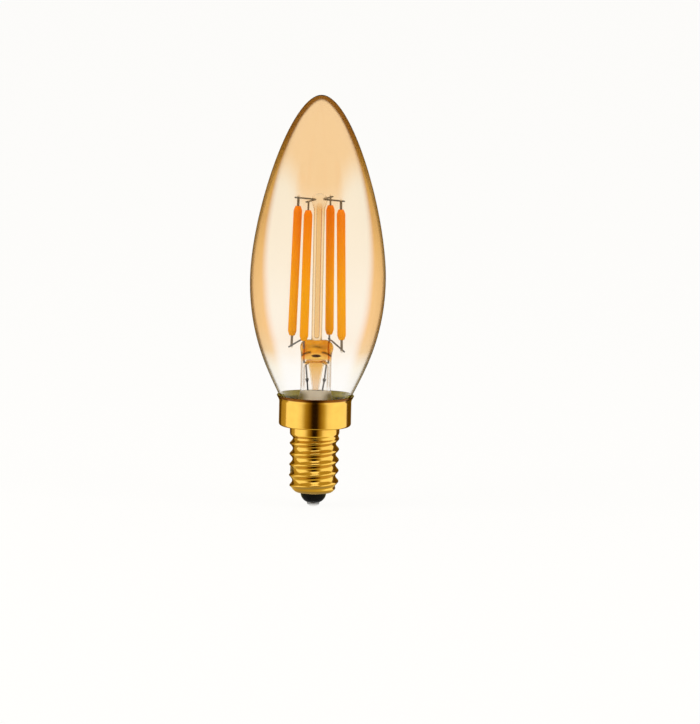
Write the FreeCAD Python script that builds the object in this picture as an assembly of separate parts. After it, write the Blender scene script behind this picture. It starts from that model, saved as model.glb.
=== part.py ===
"""Candle bulb with four LED filaments on a small screw cap.

Millimetres. The origin is the flat of the centre contact, and +Z runs up the axis to the glass tip.
Heights are stacked from the contact upwards, so a changed length carries all that stands above it.
"""
import FreeCAD, Part

import os
from math import asin, cos, radians, sin, sqrt, tan

from FreeCAD import Placement, Rotation, Vector

# Centre contact and the insulator below the cap
contact_flat_radius = 0.65
contact_dome_radius = 1.5
contact_height = 0.95
stud_radius = 0.85
insulator_drop = 2.35
insulator_radius = 3.05
insulator_bulge = 0.45
insulator_fill = 2.7

# Cap, drawn from one sheet
sheet = 0.28
bottom_flat_radius = 4.3
bottom_rise = 1.6
bottom_bend = 1.3
barrel_radius = 5.875
barrel_length = 15.9
barrel_bend = 0.4
collar_radius = 8.55
collar_bend = 0.65
collar_height = 7.2
lip_flare = 0.6
lip_height = 1.1
lip_bend = 1.2

# Envelope
cement_bed = 0.9
cement_depth = 2.8
neck_radius = 7.3
neck_length = 2.12
envelope_radius = 16.05
waist_length = 31.5
dome_length = 44.0
lip_clearance = 0.27
waist_reach = 18.3
shoulder_reach = 15.3
tip_reach = 7.35
glass_wall = 0.65
tip_wall = 0.9
neck_rounding = 0.25

# Stem: flare sealed in the neck, tube, and the press round the lead wires
seal_height = 1.2
seal_rise = 0.5
flare_wall = 0.65
flare_rise = 4.5
flare_bend = 4.5
seal_bend = 1.0
flare_tube_radius = 3.65
flare_tube_length = 8.4
ceiling_rounding = 0.6
press_height = 4.8
press_floor = 0.6
press_half_width = 4.1
press_half_depth = 1.5
press_blend = 0.55
press_crown = 0.18
press_crown_inset = 0.8
press_sections = 9

# Exhaust tube and the hole that joins it to the bulb's inside
funnel_radius = 1.95
funnel_length = 6.6
exhaust_radius = 0.9
exhaust_wall = 0.35
exhaust_bend = 5.0
exhaust_tip_gap = 0.6
exhaust_tip_length = 1.1
exhaust_bore_radius = 1.25
exhaust_hole_half_width = 1.15
exhaust_hole_half_height = 0.4
exhaust_hole_rise = 1.1

# Support pillar, a clear tube melted to a bead round the upper wires
pillar_radius = 1.3
pillar_bore_radius = 0.6
pillar_seat = 1.9
bead_radius = 1.85
bead_height = 2.8
bead_neck = 1.6

# LED filaments, four rods that splay towards their feet
filament_count = 4
filament_turn = 153.0
filament_length = 30.9
filament_radius = 1.02
filament_end_radius = 0.65
filament_taper = 1.1
filament_lift = 0.5
filament_top_ring = 5.7
filament_foot_ring = 6.6
tab_width = 0.6
tab_thickness = 0.25
tab_embed = 1.0
tab_overhang = 0.6

# Bare wires
wire_radius = 0.2
wire_bend = 0.6
wire_tail = 0.95
wire_seat = 0.05
top_wire_height = 2.0
outer_foot_drop = 2.4
inner_foot_drop = 1.3
bead_wire_offset = 0.8
lead_spacing = 2.95
lead_rise = 0.38
knot_spacing = 2.1
knot_radius = 0.42
knot_drop = 4.3
weld_radius = 0.34
lead_waist_drop = 4.9
lead_waists = [Vector(-1.7, 0.9, 0), Vector(1.2, -1.4, 0)]

# Driver inside the cap
board_half_width = 3.9
board_thickness = 0.8
board_height = 11.2
board_setback = 1.3
chip_size = Vector(2.2, 1.4, 3.0)
rectifier_size = Vector(3.8, 1.5, 4.6)
capacitor_size = Vector(2.2, 1.7, 3.2)
package_gap = 1.0
resistor_radius = 1.1
resistor_waist_radius = 0.9
resistor_cap_length = 1.0
resistor_length = 5.5
resistor_rise = 1.6
pad_spacing = 2.6
pad_drop = 1.4
shell_wire_rise = 2.5
shell_wire_spacing = 3.0
solder_radius = 0.55
shell_solder_radius = 0.8
pin_overhang = 0.25

# Heights above the contact's flat
shell_floor = contact_height + insulator_drop
board_foot = shell_floor + insulator_fill
board_top = board_foot + board_height
collar_floor = shell_floor + barrel_length
lip_top = collar_floor + collar_height
cement_floor = collar_floor + sheet
neck_foot = cement_floor + cement_bed
neck_top = neck_foot + neck_length
widest_height = neck_top + waist_length
glass_top = widest_height + dome_length
seal_foot = neck_foot + seal_rise
seal_top = seal_foot + seal_height
flare_top = seal_top + flare_rise
ceiling = flare_top + flare_tube_length
press_foot = ceiling + press_floor
press_top = ceiling + press_height
filament_foot = press_top + filament_lift
knot_height = ceiling - knot_drop

up = Vector(0, 0, 1)
origin = Vector(0, 0, 0)


def spot(radius, height):
    return Vector(radius, 0, height)


def rounded_run(points, bends):
    """Straight runs through the points, joined at each inner point by a tangent arc of its bend radius."""
    edges = []
    start = points[0]
    for before, corner, after, bend in zip(points, points[1:], points[2:], bends):
        into = (corner - before).normalize()
        away = (after - corner).normalize()
        half_turn = into.getAngle(away) / 2
        setback = bend * tan(half_turn)
        inward = (away - into).normalize()
        entry = corner - into * setback
        middle = corner + inward * bend * (1 / cos(half_turn) - 1)
        leave = corner + away * setback
        edges.append(Part.makeLine(start, entry))
        edges.append(Part.Arc(entry, middle, leave).toShape())
        start = leave
    edges.append(Part.makeLine(start, points[-1]))
    return edges


def left_of(direction):
    """The unit vector to the left of a direction in the plane of radius and height."""
    return Vector(-direction.z, 0, direction.x).normalize()


def offset_run(points, bends, distance):
    """Points and bends of a run moved to its left by a distance, each arc kept about its own centre."""
    normals = [left_of(b - a) for a, b in zip(points, points[1:])]
    moved = [points[0] + normals[0] * distance]
    new_bends = []
    for corner, n1, n2, bend in zip(points[1:], normals, normals[1:], bends):
        moved.append(corner + (n1 + n2) * (distance / (1 + n1.dot(n2))))
        turns_left = n1.x * n2.z - n1.z * n2.x > 0
        new_bends.append(bend - distance if turns_left else bend + distance)
    moved.append(points[-1] + normals[-1] * distance)
    return moved, new_bends


def bezier(*points):
    curve = Part.BezierCurve()
    curve.setPoles(list(points))
    return curve.toShape()


def revolved(edges):
    """The solid that a closed outline in the plane of radius and height sweeps about the axis."""
    outline = Part.Wire(Part.sortEdges(edges)[0])
    return Part.Face(outline).revolve(origin, up, 360)


def joined(points):
    return [Part.makeLine(a, b) for a, b in zip(points, points[1:])]


def bent_wire(points, radius=wire_radius, bend=wire_bend):
    """A round wire along straight runs with tangent bends."""
    path = Part.Wire(rounded_run(points, [bend] * (len(points) - 2)))
    start = points[0]
    section = Part.Wire(Part.Circle(start, points[1] - start, radius).toShape())
    return path.makePipeShell([section], True, False)


def ball(centre, radius):
    return Part.makeSphere(radius, centre)


def block(size, corner):
    return Part.makeBox(size.x, size.y, size.z, corner)


def half_turned(shape, side):
    """The shape as made on the first side, or turned half round for the second."""
    turned = shape.copy()
    turned.rotate(origin, up, 180.0 * side)
    return turned


def solid_of(shape):
    """The one solid of a cut or joined shape."""
    return shape.Solids[0] if len(shape.Solids) == 1 else shape


# Cap

def shell_run():
    """The outside of the sheet, from the edge of its bottom hole out and up to the lip."""
    points = [
        spot(insulator_radius, shell_floor),
        spot(bottom_flat_radius, shell_floor),
        spot(barrel_radius, shell_floor + bottom_rise),
        spot(barrel_radius, collar_floor),
        spot(collar_radius, collar_floor),
        spot(collar_radius, lip_top - lip_height),
        spot(collar_radius + lip_flare, lip_top),
    ]
    return points, [bottom_bend, bottom_bend, barrel_bend, collar_bend, lip_bend]


def cap_shell():
    outer, outer_bends = shell_run()
    inner, inner_bends = offset_run(outer, outer_bends, sheet)
    edges = rounded_run(outer, outer_bends) + rounded_run(inner, inner_bends)
    edges.append(Part.makeLine(outer[0], inner[0]))
    edges.append(Part.makeLine(outer[-1], inner[-1]))
    return revolved(edges)


def insulator():
    """Black glass button: domed below the cap, and run out over the inside of the cap's bottom."""
    outer, outer_bends = shell_run()
    fill_level = spot(barrel_radius, board_foot)
    inner, inner_bends = offset_run(outer[:3] + [fill_level], outer_bends[:2], sheet)
    foot = spot(contact_dome_radius, contact_height)
    rim = outer[0]
    middle = (foot + rim) * 0.5 + left_of(foot - rim) * insulator_bulge
    edges = rounded_run(inner, inner_bends)
    edges += [Part.makeLine(rim, inner[0]), Part.Arc(foot, middle, rim).toShape()]
    edges += joined([
        inner[-1],
        spot(stud_radius, board_foot),
        spot(stud_radius, contact_height),
        foot,
    ])
    return revolved(edges)


def centre_contact():
    """Tinned dome with a stud up through the insulator, drilled for its lead."""
    flat = spot(contact_flat_radius, 0)
    edge = spot(contact_dome_radius, contact_height)
    middle = (flat + edge) * 0.5 + left_of(flat - edge) * (contact_height / 4)
    edges = [Part.Arc(flat, middle, edge).toShape()]
    edges += joined([
        edge,
        spot(stud_radius, contact_height),
        spot(stud_radius, board_foot),
        spot(wire_radius, board_foot),
        spot(wire_radius, shell_floor),
        spot(0, shell_floor),
        origin,
        flat,
    ])
    return revolved(edges)


def basing_cement(envelope):
    """Ring that beds the neck in the collar."""
    outer, outer_bends = shell_run()
    cement_top = spot(collar_radius, cement_floor + cement_depth)
    floor_run = [spot(barrel_radius + barrel_bend, collar_floor), outer[4], cement_top]
    inner, inner_bends = offset_run(floor_run, [collar_bend], sheet)
    neck_inner = neck_radius - glass_wall
    inner[0] = spot(neck_inner, cement_floor)
    edges = rounded_run(inner, inner_bends)
    middle_wall = neck_radius - glass_wall / 2
    edges += joined([
        inner[-1],
        spot(middle_wall, inner[-1].z),
        spot(middle_wall, neck_foot + neck_rounding),
        spot(neck_inner, neck_foot + neck_rounding),
        inner[0],
    ])
    return solid_of(revolved(edges).cut(envelope))


# Glass

def neck_handle():
    """Length of the curve's upright handle at the neck, for which the glass clears the cap's lip as named."""
    lip_inner = collar_radius + lip_flare - sheet
    share = (lip_inner - lip_clearance - neck_radius) / (envelope_radius - neck_radius)
    along = 0.5 - sin(asin(1 - 2 * share) / 3)
    risen = 3 * along ** 2 * (1 - along) * (waist_length - waist_reach) + along ** 3 * waist_length
    return (lip_top - neck_top - risen) / (3 * along * (1 - along) ** 2)


def envelope_curves(wall, tip):
    """Neck to belly to tip, with the wall taken off the radii and the tip's wall off the height."""
    widest = envelope_radius - wall
    neck = neck_radius - wall
    top = glass_top - tip
    lower = bezier(
        spot(neck, neck_top),
        spot(neck, neck_top + neck_handle()),
        spot(widest, widest_height - waist_reach),
        spot(widest, widest_height),
    )
    upper = bezier(
        spot(widest, widest_height),
        spot(widest, widest_height + shoulder_reach),
        spot(tip_reach - wall, top),
        spot(0, top),
    )
    return [lower, upper]


def glass_envelope():
    """Blown candle shape, open at the neck's foot, whose edge is fire-rounded."""
    neck_inner = neck_radius - glass_wall
    edges = envelope_curves(0, 0) + envelope_curves(glass_wall, tip_wall)
    edges.append(Part.makeLine(spot(0, glass_top), spot(0, glass_top - tip_wall)))
    rim = [
        spot(neck_radius, neck_top),
        spot(neck_radius, neck_foot),
        spot(neck_inner, neck_foot),
        spot(neck_inner, neck_top),
    ]
    return revolved(edges + rounded_run(rim, [neck_rounding, neck_rounding]))


def press_outline(height):
    """Half width and half depth of the press: a tube flattened upwards, with a rounded crown."""
    share = (height - press_foot) / (press_top - press_foot)
    flat = min(share / press_blend, 1)
    flat = flat * flat * (3 - 2 * flat)
    crown = max(share - 1 + press_crown, 0) / press_crown
    inset = press_crown_inset * (1 - sqrt(1 - crown * crown))
    half_width = flare_tube_radius + (press_half_width - flare_tube_radius) * flat
    half_depth = flare_tube_radius + (press_half_depth - flare_tube_radius) * flat
    return half_width - inset, half_depth - inset


def press():
    """The flattened top of the stem, lofted through ellipses."""
    rise = press_top - press_foot
    full = [press_foot + rise * (1 - press_crown) * i / (press_sections - 4) for i in range(press_sections - 3)]
    crown = [press_top - rise * press_crown * share for share in (0.5, 0.15, 0)]
    sections = [Part.Wire(Part.Circle(spot(0, press_foot), up, flare_tube_radius).toShape())]
    for height in full[1:] + crown:
        half_width, half_depth = press_outline(height)
        sections.append(Part.Wire(Part.Ellipse(spot(0, height), half_width, half_depth).toShape()))
    return Part.makeLoft(sections, True)


def flare():
    """Tube under the press that opens out to its seal inside the neck."""
    neck_inner = neck_radius - glass_wall
    outer = [
        spot(flare_tube_radius, press_foot),
        spot(flare_tube_radius, flare_top),
        spot(neck_inner, seal_top),
        spot(neck_inner, seal_foot),
    ]
    outer_bends = [flare_bend, seal_bend]
    inner, inner_bends = offset_run(outer, outer_bends, -flare_wall)
    inner[0] = spot(flare_tube_radius - flare_wall, ceiling)
    bore = [spot(0, ceiling)] + inner
    edges = rounded_run(outer, outer_bends) + rounded_run(bore, [ceiling_rounding] + inner_bends)
    edges += joined([outer[0], spot(0, press_foot), spot(0, ceiling)])
    edges.append(Part.makeLine(outer[-1], inner[-1]))
    return revolved(edges)


def exhaust_opening():
    """Bore up from the exhaust tube, and the oval hole from it to the bulb's inside."""
    hole_height = ceiling + exhaust_hole_rise
    bore = Part.makeCylinder(exhaust_bore_radius, exhaust_hole_rise, spot(0, ceiling))
    oval = Part.Ellipse(origin, exhaust_hole_half_width, exhaust_hole_half_height)
    face = Part.Face(Part.Wire(oval.toShape()))
    face.rotate(origin, Vector(1, 0, 0), 90)
    face.translate(spot(0, hole_height))
    return bore.fuse(face.extrude(Vector(0, -2 * flare_tube_radius, 0)))


def stem_flare(leads, pillar):
    blank = flare().fuse(press()).removeSplitter()
    for tool in [exhaust_opening(), pillar_blank()] + leads:
        blank = blank.cut(tool)
    return solid_of(blank)


def exhaust_tube():
    """Funnel under the press that narrows to a tube, melted shut at its lower end."""
    tip = board_top + exhaust_tip_gap
    outer = [
        spot(funnel_radius, ceiling),
        spot(exhaust_radius, ceiling - funnel_length),
        spot(exhaust_radius, tip + exhaust_tip_length),
        spot(0, tip),
    ]
    inner = [
        spot(funnel_radius - exhaust_wall, ceiling),
        spot(exhaust_radius - exhaust_wall, ceiling - funnel_length),
        spot(exhaust_radius - exhaust_wall, tip + exhaust_tip_length + exhaust_wall),
        spot(0, tip + 2 * exhaust_wall),
    ]
    bends = [exhaust_bend, exhaust_wall]
    edges = rounded_run(outer, bends) + rounded_run(inner, bends)
    edges.append(Part.makeLine(outer[0], inner[0]))
    edges.append(Part.makeLine(outer[-1], inner[-1]))
    return revolved(edges)


def pillar_blank():
    """The pillar's lower end without its bore, as the press closes on it."""
    return Part.makeCylinder(pillar_radius, press_height, spot(0, press_top - pillar_seat))


def support_pillar(wires):
    """Tube from the press to the bead, with its bore ending under the bead and above the press."""
    wire_height = wires[0].BoundBox.Center.z
    bead_foot = wire_height - bead_height / 2
    bead_top = wire_height + bead_height / 2
    foot = press_top - pillar_seat
    shoulder = spot(pillar_radius, bead_foot - bead_neck)
    widest = spot(bead_radius, wire_height)
    side = bezier(
        shoulder,
        spot(pillar_radius, bead_foot),
        spot(bead_radius, bead_foot),
        widest,
    )
    dome = bezier(
        widest,
        spot(bead_radius, bead_top - bead_height / 6),
        spot(bead_radius / 2, bead_top),
        spot(0, bead_top),
    )
    edges = [side, dome]
    edges += joined([spot(0, bead_top), spot(0, foot), spot(pillar_radius, foot), shoulder])
    bore_foot = foot + pillar_radius
    bore = Part.makeCylinder(pillar_bore_radius, bead_foot - bore_foot, spot(0, bore_foot))
    bore = bore.fuse(ball(spot(0, bore_foot), pillar_bore_radius))
    bore = bore.fuse(ball(spot(0, bead_foot), pillar_bore_radius))
    blank = revolved(edges).cut(bore)
    for wire in wires:
        blank = blank.cut(wire)
    return solid_of(blank)


# Filaments

def filament_place(number):
    """Place of a filament: its foot on the foot ring, leaning in to the top ring, x along the radius."""
    turn = radians(filament_turn + 360.0 * number / filament_count)
    radial = Vector(cos(turn), sin(turn), 0)
    lean = filament_foot_ring - filament_top_ring
    rise = sqrt(filament_length ** 2 - lean ** 2)
    along = Vector(0, 0, rise) - radial * lean
    across = Vector(-radial.y, radial.x, 0)
    foot = radial * filament_foot_ring + Vector(0, 0, filament_foot)
    return Placement(foot, Rotation(across.cross(along), across, along, "ZYX"))


def led_filament(number, tabs):
    """Rod of phosphor with tapered ends, closed round the tabs."""
    top = filament_length
    outline = joined([
        spot(0, 0),
        spot(filament_end_radius, 0),
        spot(filament_radius, filament_taper),
        spot(filament_radius, top - filament_taper),
        spot(filament_end_radius, top),
        spot(0, top),
        spot(0, 0),
    ])
    rod = revolved(outline)
    rod.Placement = filament_place(number)
    return solid_of(rod.cut(tabs[0]).cut(tabs[1]))


def filament_tab(number, low, high, wire):
    """Flat end lead between two heights on the filament's axis, welded to the wire that passes it."""
    corner = Vector(-tab_width / 2, -tab_thickness / 2, low)
    tab = block(Vector(tab_width, tab_thickness, high - low), corner)
    tab.Placement = filament_place(number)
    return solid_of(tab.cut(wire))


def wire_spot(number, height, way):
    """Where a wire passes a tab, on the side that faces the pair's other filament."""
    offset = tab_thickness / 2 + wire_radius - wire_seat
    return filament_place(number).multVec(Vector(0, way * offset, height))


def with_tail(start, end):
    """The end carried on past the tab by the wire's tail."""
    return end + (end - start).normalize() * wire_tail


# Wires, made for the first pair of filaments and turned half round for the second

def support_wire(side):
    """Upper wire: from one filament into the bead, round a bend there and out to the next."""
    first = wire_spot(0, filament_length + top_wire_height, 1)
    second = wire_spot(1, filament_length + top_wire_height, -1)
    turn = radians(filament_turn + 180.0 / filament_count)
    bend_point = Vector(cos(turn), sin(turn), 0) * bead_wire_offset + Vector(0, 0, first.z)
    points = [with_tail(bend_point, first), bend_point, with_tail(bend_point, second)]
    return half_turned(bent_wire(points), side)


def lead_shoulder():
    return Vector(-lead_spacing, 0, press_top + lead_rise)


def inner_lead(side):
    """From the knot below the press, through it, and over to the outer filament's foot."""
    foot = wire_spot(0, -outer_foot_drop, 1)
    knot = Vector(-knot_spacing, 0, knot_height)
    points = [knot, lead_shoulder(), with_tail(lead_shoulder(), foot)]
    return half_turned(bent_wire(points), side)


def foot_wire(side, lead):
    """From its weld on the lead, above the press, to the other filament's foot."""
    foot = wire_spot(1, -inner_foot_drop, -1)
    wire = bent_wire([lead_shoulder(), with_tail(lead_shoulder(), foot)])
    welded = half_turned(wire.fuse(ball(lead_shoulder(), weld_radius)), side)
    return solid_of(welded.cut(lead))


def outer_lead(side, lead):
    """From the knot down through the neck to its hole in the driver board."""
    way = 2 * side - 1
    knot = Vector(way * knot_spacing, 0, knot_height)
    waist = lead_waists[side] + Vector(0, 0, knot_height - lead_waist_drop)
    pad = Vector(way * pad_spacing, 0, board_top - pad_drop)
    points = [
        knot,
        waist,
        pad + Vector(0, board_setback / 2, 2 * pad_drop),
        pad + Vector(0, board_setback / 2, 0),
        pad + Vector(0, board_setback + board_thickness + pin_overhang, 0),
    ]
    return solid_of(bent_wire(points, bend=wire_radius * 2).fuse(ball(knot, knot_radius)).cut(lead))


# Driver

def driver_board(wires):
    """Board that stands on the insulator behind the axis, with a hole for each wire."""
    size = Vector(2 * board_half_width, board_thickness, board_height)
    board = block(size, Vector(-board_half_width, board_setback, board_foot))
    for wire in wires:
        board = board.cut(wire)
    return solid_of(board)


def bridge_rectifier():
    corner = Vector(-rectifier_size.x / 2, board_setback + board_thickness, board_foot + package_gap)
    return block(rectifier_size, corner)


def driver_chip():
    right = -resistor_radius - package_gap / 2
    height = board_foot + shell_wire_rise + package_gap
    return block(chip_size, Vector(right - chip_size.x, board_setback - chip_size.y, height))


def capacitor():
    left = resistor_radius + package_gap / 2
    corner = Vector(left, board_setback - capacitor_size.y, board_foot + package_gap)
    return block(capacitor_size, corner)


def fusible_resistor():
    """Coated body on the axis, waisted between its end caps."""
    foot = board_foot + resistor_rise
    top = foot + resistor_length
    outline = joined([
        spot(0, foot),
        spot(resistor_radius, foot),
        spot(resistor_radius, foot + resistor_cap_length),
        spot(resistor_waist_radius, foot + 1.5 * resistor_cap_length),
        spot(resistor_waist_radius, top - 1.5 * resistor_cap_length),
        spot(resistor_radius, top - resistor_cap_length),
        spot(resistor_radius, top),
        spot(0, top),
        spot(0, foot),
    ])
    return revolved(outline)


def contact_wire():
    """Lower lead of the resistor, down into the contact's stud."""
    foot = board_foot + resistor_rise
    return Part.makeCylinder(wire_radius, foot - shell_floor, spot(0, shell_floor))


def resistor_lead():
    """Upper lead of the resistor, bent over into the board."""
    foot = spot(0, board_foot + resistor_rise + resistor_length)
    corner = foot + up * resistor_cap_length
    reach = board_setback + board_thickness + pin_overhang
    return bent_wire([foot, corner, corner + Vector(0, reach, 0)], bend=wire_radius * 2)


def shell_wire():
    """From the board to its solder on the inside of the cap."""
    board_end = Vector(-shell_wire_spacing, board_setback + board_thickness + pin_overhang, 0)
    height = Vector(0, 0, board_foot + shell_wire_rise)
    corner = Vector(-shell_wire_spacing, 0, 0)
    wall_end = Vector(sheet - barrel_radius, 0, 0)
    points = [board_end + height, corner + height, wall_end + height]
    wire = bent_wire(points, bend=wire_radius * 2)
    bore = Part.makeCylinder(barrel_radius - sheet, board_top)
    return solid_of(wire.common(bore))


def shell_solder(wire):
    """Drop of solder between the wire's end and the cap's inside."""
    centre = Vector(sheet - barrel_radius, 0, board_foot + shell_wire_rise)
    bore = Part.makeCylinder(barrel_radius - sheet, board_top)
    return solid_of(ball(centre, shell_solder_radius).common(bore).cut(wire))


def board_solder(wires):
    """Drops of solder where the wires come through the back of the board."""
    back = board_setback + board_thickness
    places = [
        Vector(-pad_spacing, back, board_top - pad_drop),
        Vector(pad_spacing, back, board_top - pad_drop),
        Vector(0, back, board_foot + resistor_rise + resistor_length + resistor_cap_length),
        Vector(-shell_wire_spacing, back, board_foot + shell_wire_rise),
    ]
    behind = Part.makeBox(4 * barrel_radius, barrel_radius, board_top, Vector(-2 * barrel_radius, back, 0))
    drops = Part.makeCompound([ball(place, solder_radius).common(behind) for place in places])
    for wire in wires:
        drops = drops.cut(wire)
    return drops


def build():
    """Every node by name."""
    sides = ["left", "right"]
    nodes = {}
    envelope = glass_envelope()
    nodes["cap_shell"] = cap_shell()
    nodes["insulator"] = insulator()
    nodes["centre_contact"] = centre_contact()
    nodes["glass_envelope"] = envelope
    nodes["basing_cement"] = basing_cement(envelope)
    nodes["exhaust_tube"] = exhaust_tube()

    top_wires = [support_wire(side) for side in (0, 1)]
    leads = [inner_lead(side) for side in (0, 1)]
    feet = [foot_wire(side, leads[side]) for side in (0, 1)]
    outer_leads = [outer_lead(side, leads[side]) for side in (0, 1)]
    for side, name in enumerate(sides):
        nodes["support_wire_" + name] = top_wires[side]
        nodes["inner_lead_" + name] = leads[side]
        nodes["foot_wire_" + name] = feet[side]
        nodes["outer_lead_" + name] = outer_leads[side]
    nodes["support_pillar"] = support_pillar(top_wires)
    nodes["stem_flare"] = stem_flare(leads, nodes["support_pillar"])

    for number in range(filament_count):
        side = number // 2
        outer = number % 2 == 0
        foot_holder = leads[side] if outer else feet[side]
        foot_drop = outer_foot_drop if outer else inner_foot_drop
        tab_top = filament_length + top_wire_height + tab_overhang
        top_tab = filament_tab(number, filament_length - tab_embed, tab_top, top_wires[side])
        foot_tab = filament_tab(number, -foot_drop - tab_overhang, tab_embed, foot_holder)
        label = str(number + 1)
        nodes["filament_top_tab_" + label] = top_tab
        nodes["filament_foot_tab_" + label] = foot_tab
        nodes["led_filament_" + label] = led_filament(number, [top_tab, foot_tab])

    nodes["bridge_rectifier"] = bridge_rectifier()
    nodes["driver_chip"] = driver_chip()
    nodes["capacitor"] = capacitor()
    nodes["fusible_resistor"] = fusible_resistor()
    nodes["contact_wire"] = contact_wire()
    nodes["resistor_lead"] = resistor_lead()
    nodes["shell_wire"] = shell_wire()
    nodes["shell_solder"] = shell_solder(nodes["shell_wire"])
    board_wires = outer_leads + [nodes["resistor_lead"], nodes["shell_wire"]]
    nodes["driver_board"] = driver_board(board_wires)
    nodes["board_solder"] = board_solder(board_wires)
    return nodes


os.makedirs("parts", exist_ok=True)
for name, shape in build().items():
    shape.exportStep(os.path.join("parts", name + ".step"))
    print(name, "valid" if shape.isValid() else "NOT VALID", len(shape.Solids), round(shape.Volume, 3))
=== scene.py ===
from math import cos, pi, radians, sin, sqrt

import bpy
import numpy as np
from mathutils import Matrix, Vector


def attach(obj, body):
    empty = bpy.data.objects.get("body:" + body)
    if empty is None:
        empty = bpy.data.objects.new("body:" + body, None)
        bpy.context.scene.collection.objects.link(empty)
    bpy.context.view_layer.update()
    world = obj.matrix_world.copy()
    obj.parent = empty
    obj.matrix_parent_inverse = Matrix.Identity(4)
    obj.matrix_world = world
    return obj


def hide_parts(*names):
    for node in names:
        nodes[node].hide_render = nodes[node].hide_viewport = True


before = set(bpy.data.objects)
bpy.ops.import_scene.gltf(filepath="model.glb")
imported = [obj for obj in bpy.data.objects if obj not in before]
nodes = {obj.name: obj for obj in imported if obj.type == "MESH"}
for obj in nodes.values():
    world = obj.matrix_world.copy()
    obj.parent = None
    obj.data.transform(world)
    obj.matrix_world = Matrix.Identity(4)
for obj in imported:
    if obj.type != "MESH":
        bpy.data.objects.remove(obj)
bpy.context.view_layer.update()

mm = 0.001
root = "root"
sliver = 0.01  # mm between pieces that are fused or seated


# Mesh helpers

def plainMesh(name, points, faces):
    # Points in millimetres and faces as index rows, linked into the scene
    mesh = bpy.data.meshes.new(name)
    mesh.from_pydata((points * mm).tolist(), [], faces)
    made = bpy.data.objects.new(name, mesh)
    bpy.context.scene.collection.objects.link(made)
    return made


def meshObject(name, points, faces):
    # A piece of the bulb, shaded smooth and riding on it
    piece = plainMesh(name, points, faces)
    piece.data.polygons.foreach_set("use_smooth", np.ones(len(faces), dtype=bool))
    piece.data.update()
    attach(piece, root)
    return piece


def gridMesh(name, grid, closedU=False, poles=(False, False)):
    # Surface point(u, v): v runs once round and closes, u runs along; a pole row is one point.
    rows, columns = grid.shape[:2]
    index = np.arange(rows * columns).reshape(rows, columns)
    if poles[0]:
        index[0, :] = index[0, 0]
    if poles[1]:
        index[-1, :] = index[-1, 0]
    low = index if closedU else index[:-1]
    high = np.roll(index, -1, axis=0) if closedU else index[1:]
    quads = np.stack([low, np.roll(low, -1, 1), np.roll(high, -1, 1), high], axis=-1).reshape(-1, 4)
    used, compact = np.unique(quads, return_inverse=True)
    quads = compact.reshape(quads.shape)
    footTriangles = quads[quads[:, 0] == quads[:, 1]][:, [0, 2, 3]]
    headTriangles = quads[quads[:, 2] == quads[:, 3]][:, [0, 1, 2]]
    full = quads[(quads[:, 0] != quads[:, 1]) & (quads[:, 2] != quads[:, 3])]
    faces = full.tolist() + footTriangles.tolist() + headTriangles.tolist()
    return meshObject(name, grid.reshape(-1, 3)[used], faces)


def filleted(corners, bends, steps=10):
    # Straight runs through corners in a plane or in space, each inner corner a tangent arc of its bend.
    corners = np.array(corners, dtype=float)
    run = [corners[:1]]
    for before, corner, after, bend in zip(corners, corners[1:], corners[2:], bends):
        into = (corner - before) / np.linalg.norm(corner - before)
        away = (after - corner) / np.linalg.norm(after - corner)
        half = np.arccos(np.clip(into @ away, -1, 1)) / 2
        inward = (away - into) / np.linalg.norm(away - into)
        centre = corner + inward * bend / cos(half)
        spread = np.linspace(-half, half, steps)[:, None]
        run.append(centre + bend * (np.sin(spread) * (into + away) / np.linalg.norm(into + away)
                                    - np.cos(spread) * inward))
    run.append(corners[-1:])
    return np.concatenate(run)


def offsetCorners(corners, bends, distance):
    # The same run moved to its left by a distance, each arc kept about its own centre.
    corners = np.array(corners, dtype=float)
    ways = np.diff(corners, axis=0)
    ways /= np.linalg.norm(ways, axis=1)[:, None]
    normals = np.stack([-ways[:, 1], ways[:, 0]], axis=1)
    first, second = normals[:-1], normals[1:]
    lean = 1 + (first * second).sum(axis=1)
    middle = corners[1:-1] + (first + second) * (distance / lean)[:, None]
    moved = np.vstack([corners[0] + normals[0] * distance, middle, corners[-1] + normals[-1] * distance])
    left = first[:, 0] * second[:, 1] - first[:, 1] * second[:, 0] > 0
    return moved, np.where(left, -distance, distance) + np.array(bends)


def bezier(poles, steps):
    # Cubic curve: the sum of the four poles, each times its Bernstein weight.
    t = np.linspace(0, 1, steps)[:, None]
    a, b, c, d = [np.array(pole, dtype=float) for pole in poles]
    return (1 - t) ** 3 * a + 3 * t * (1 - t) ** 2 * b + 3 * t * t * (1 - t) * c + t ** 3 * d


def refined(run, spacing):
    # The run with its long straight stretches divided into steps of at most the spacing.
    lengths = np.linalg.norm(np.diff(run, axis=0), axis=1)
    along = np.concatenate([[0], np.cumsum(lengths)])
    parts = np.maximum(np.ceil(lengths / spacing).astype(int), 1)
    places = np.concatenate([np.linspace(a, b, n, endpoint=False)
                             for a, b, n in zip(along, along[1:], parts)] + [along[-1:]])
    return np.stack([np.interp(places, along, run[:, 0]), np.interp(places, along, run[:, 1])], axis=1)


def turned(run, segments):
    # Surface of revolution: (r(u) cos v, r(u) sin v, z(u)) with v once round the axis.
    v = np.linspace(0, 2 * pi, segments, endpoint=False)
    radius, height = run[:, :1], run[:, 1:]
    return np.stack([radius * np.cos(v), radius * np.sin(v), height + 0 * v], axis=-1)


def smoothStep(low, high, value):
    # s^2 (3 - 2 s), with s from 0 at the low value to 1 at the high one
    share = np.clip((value - low) / (high - low), 0, 1)
    return share * share * (3 - 2 * share)


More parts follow.
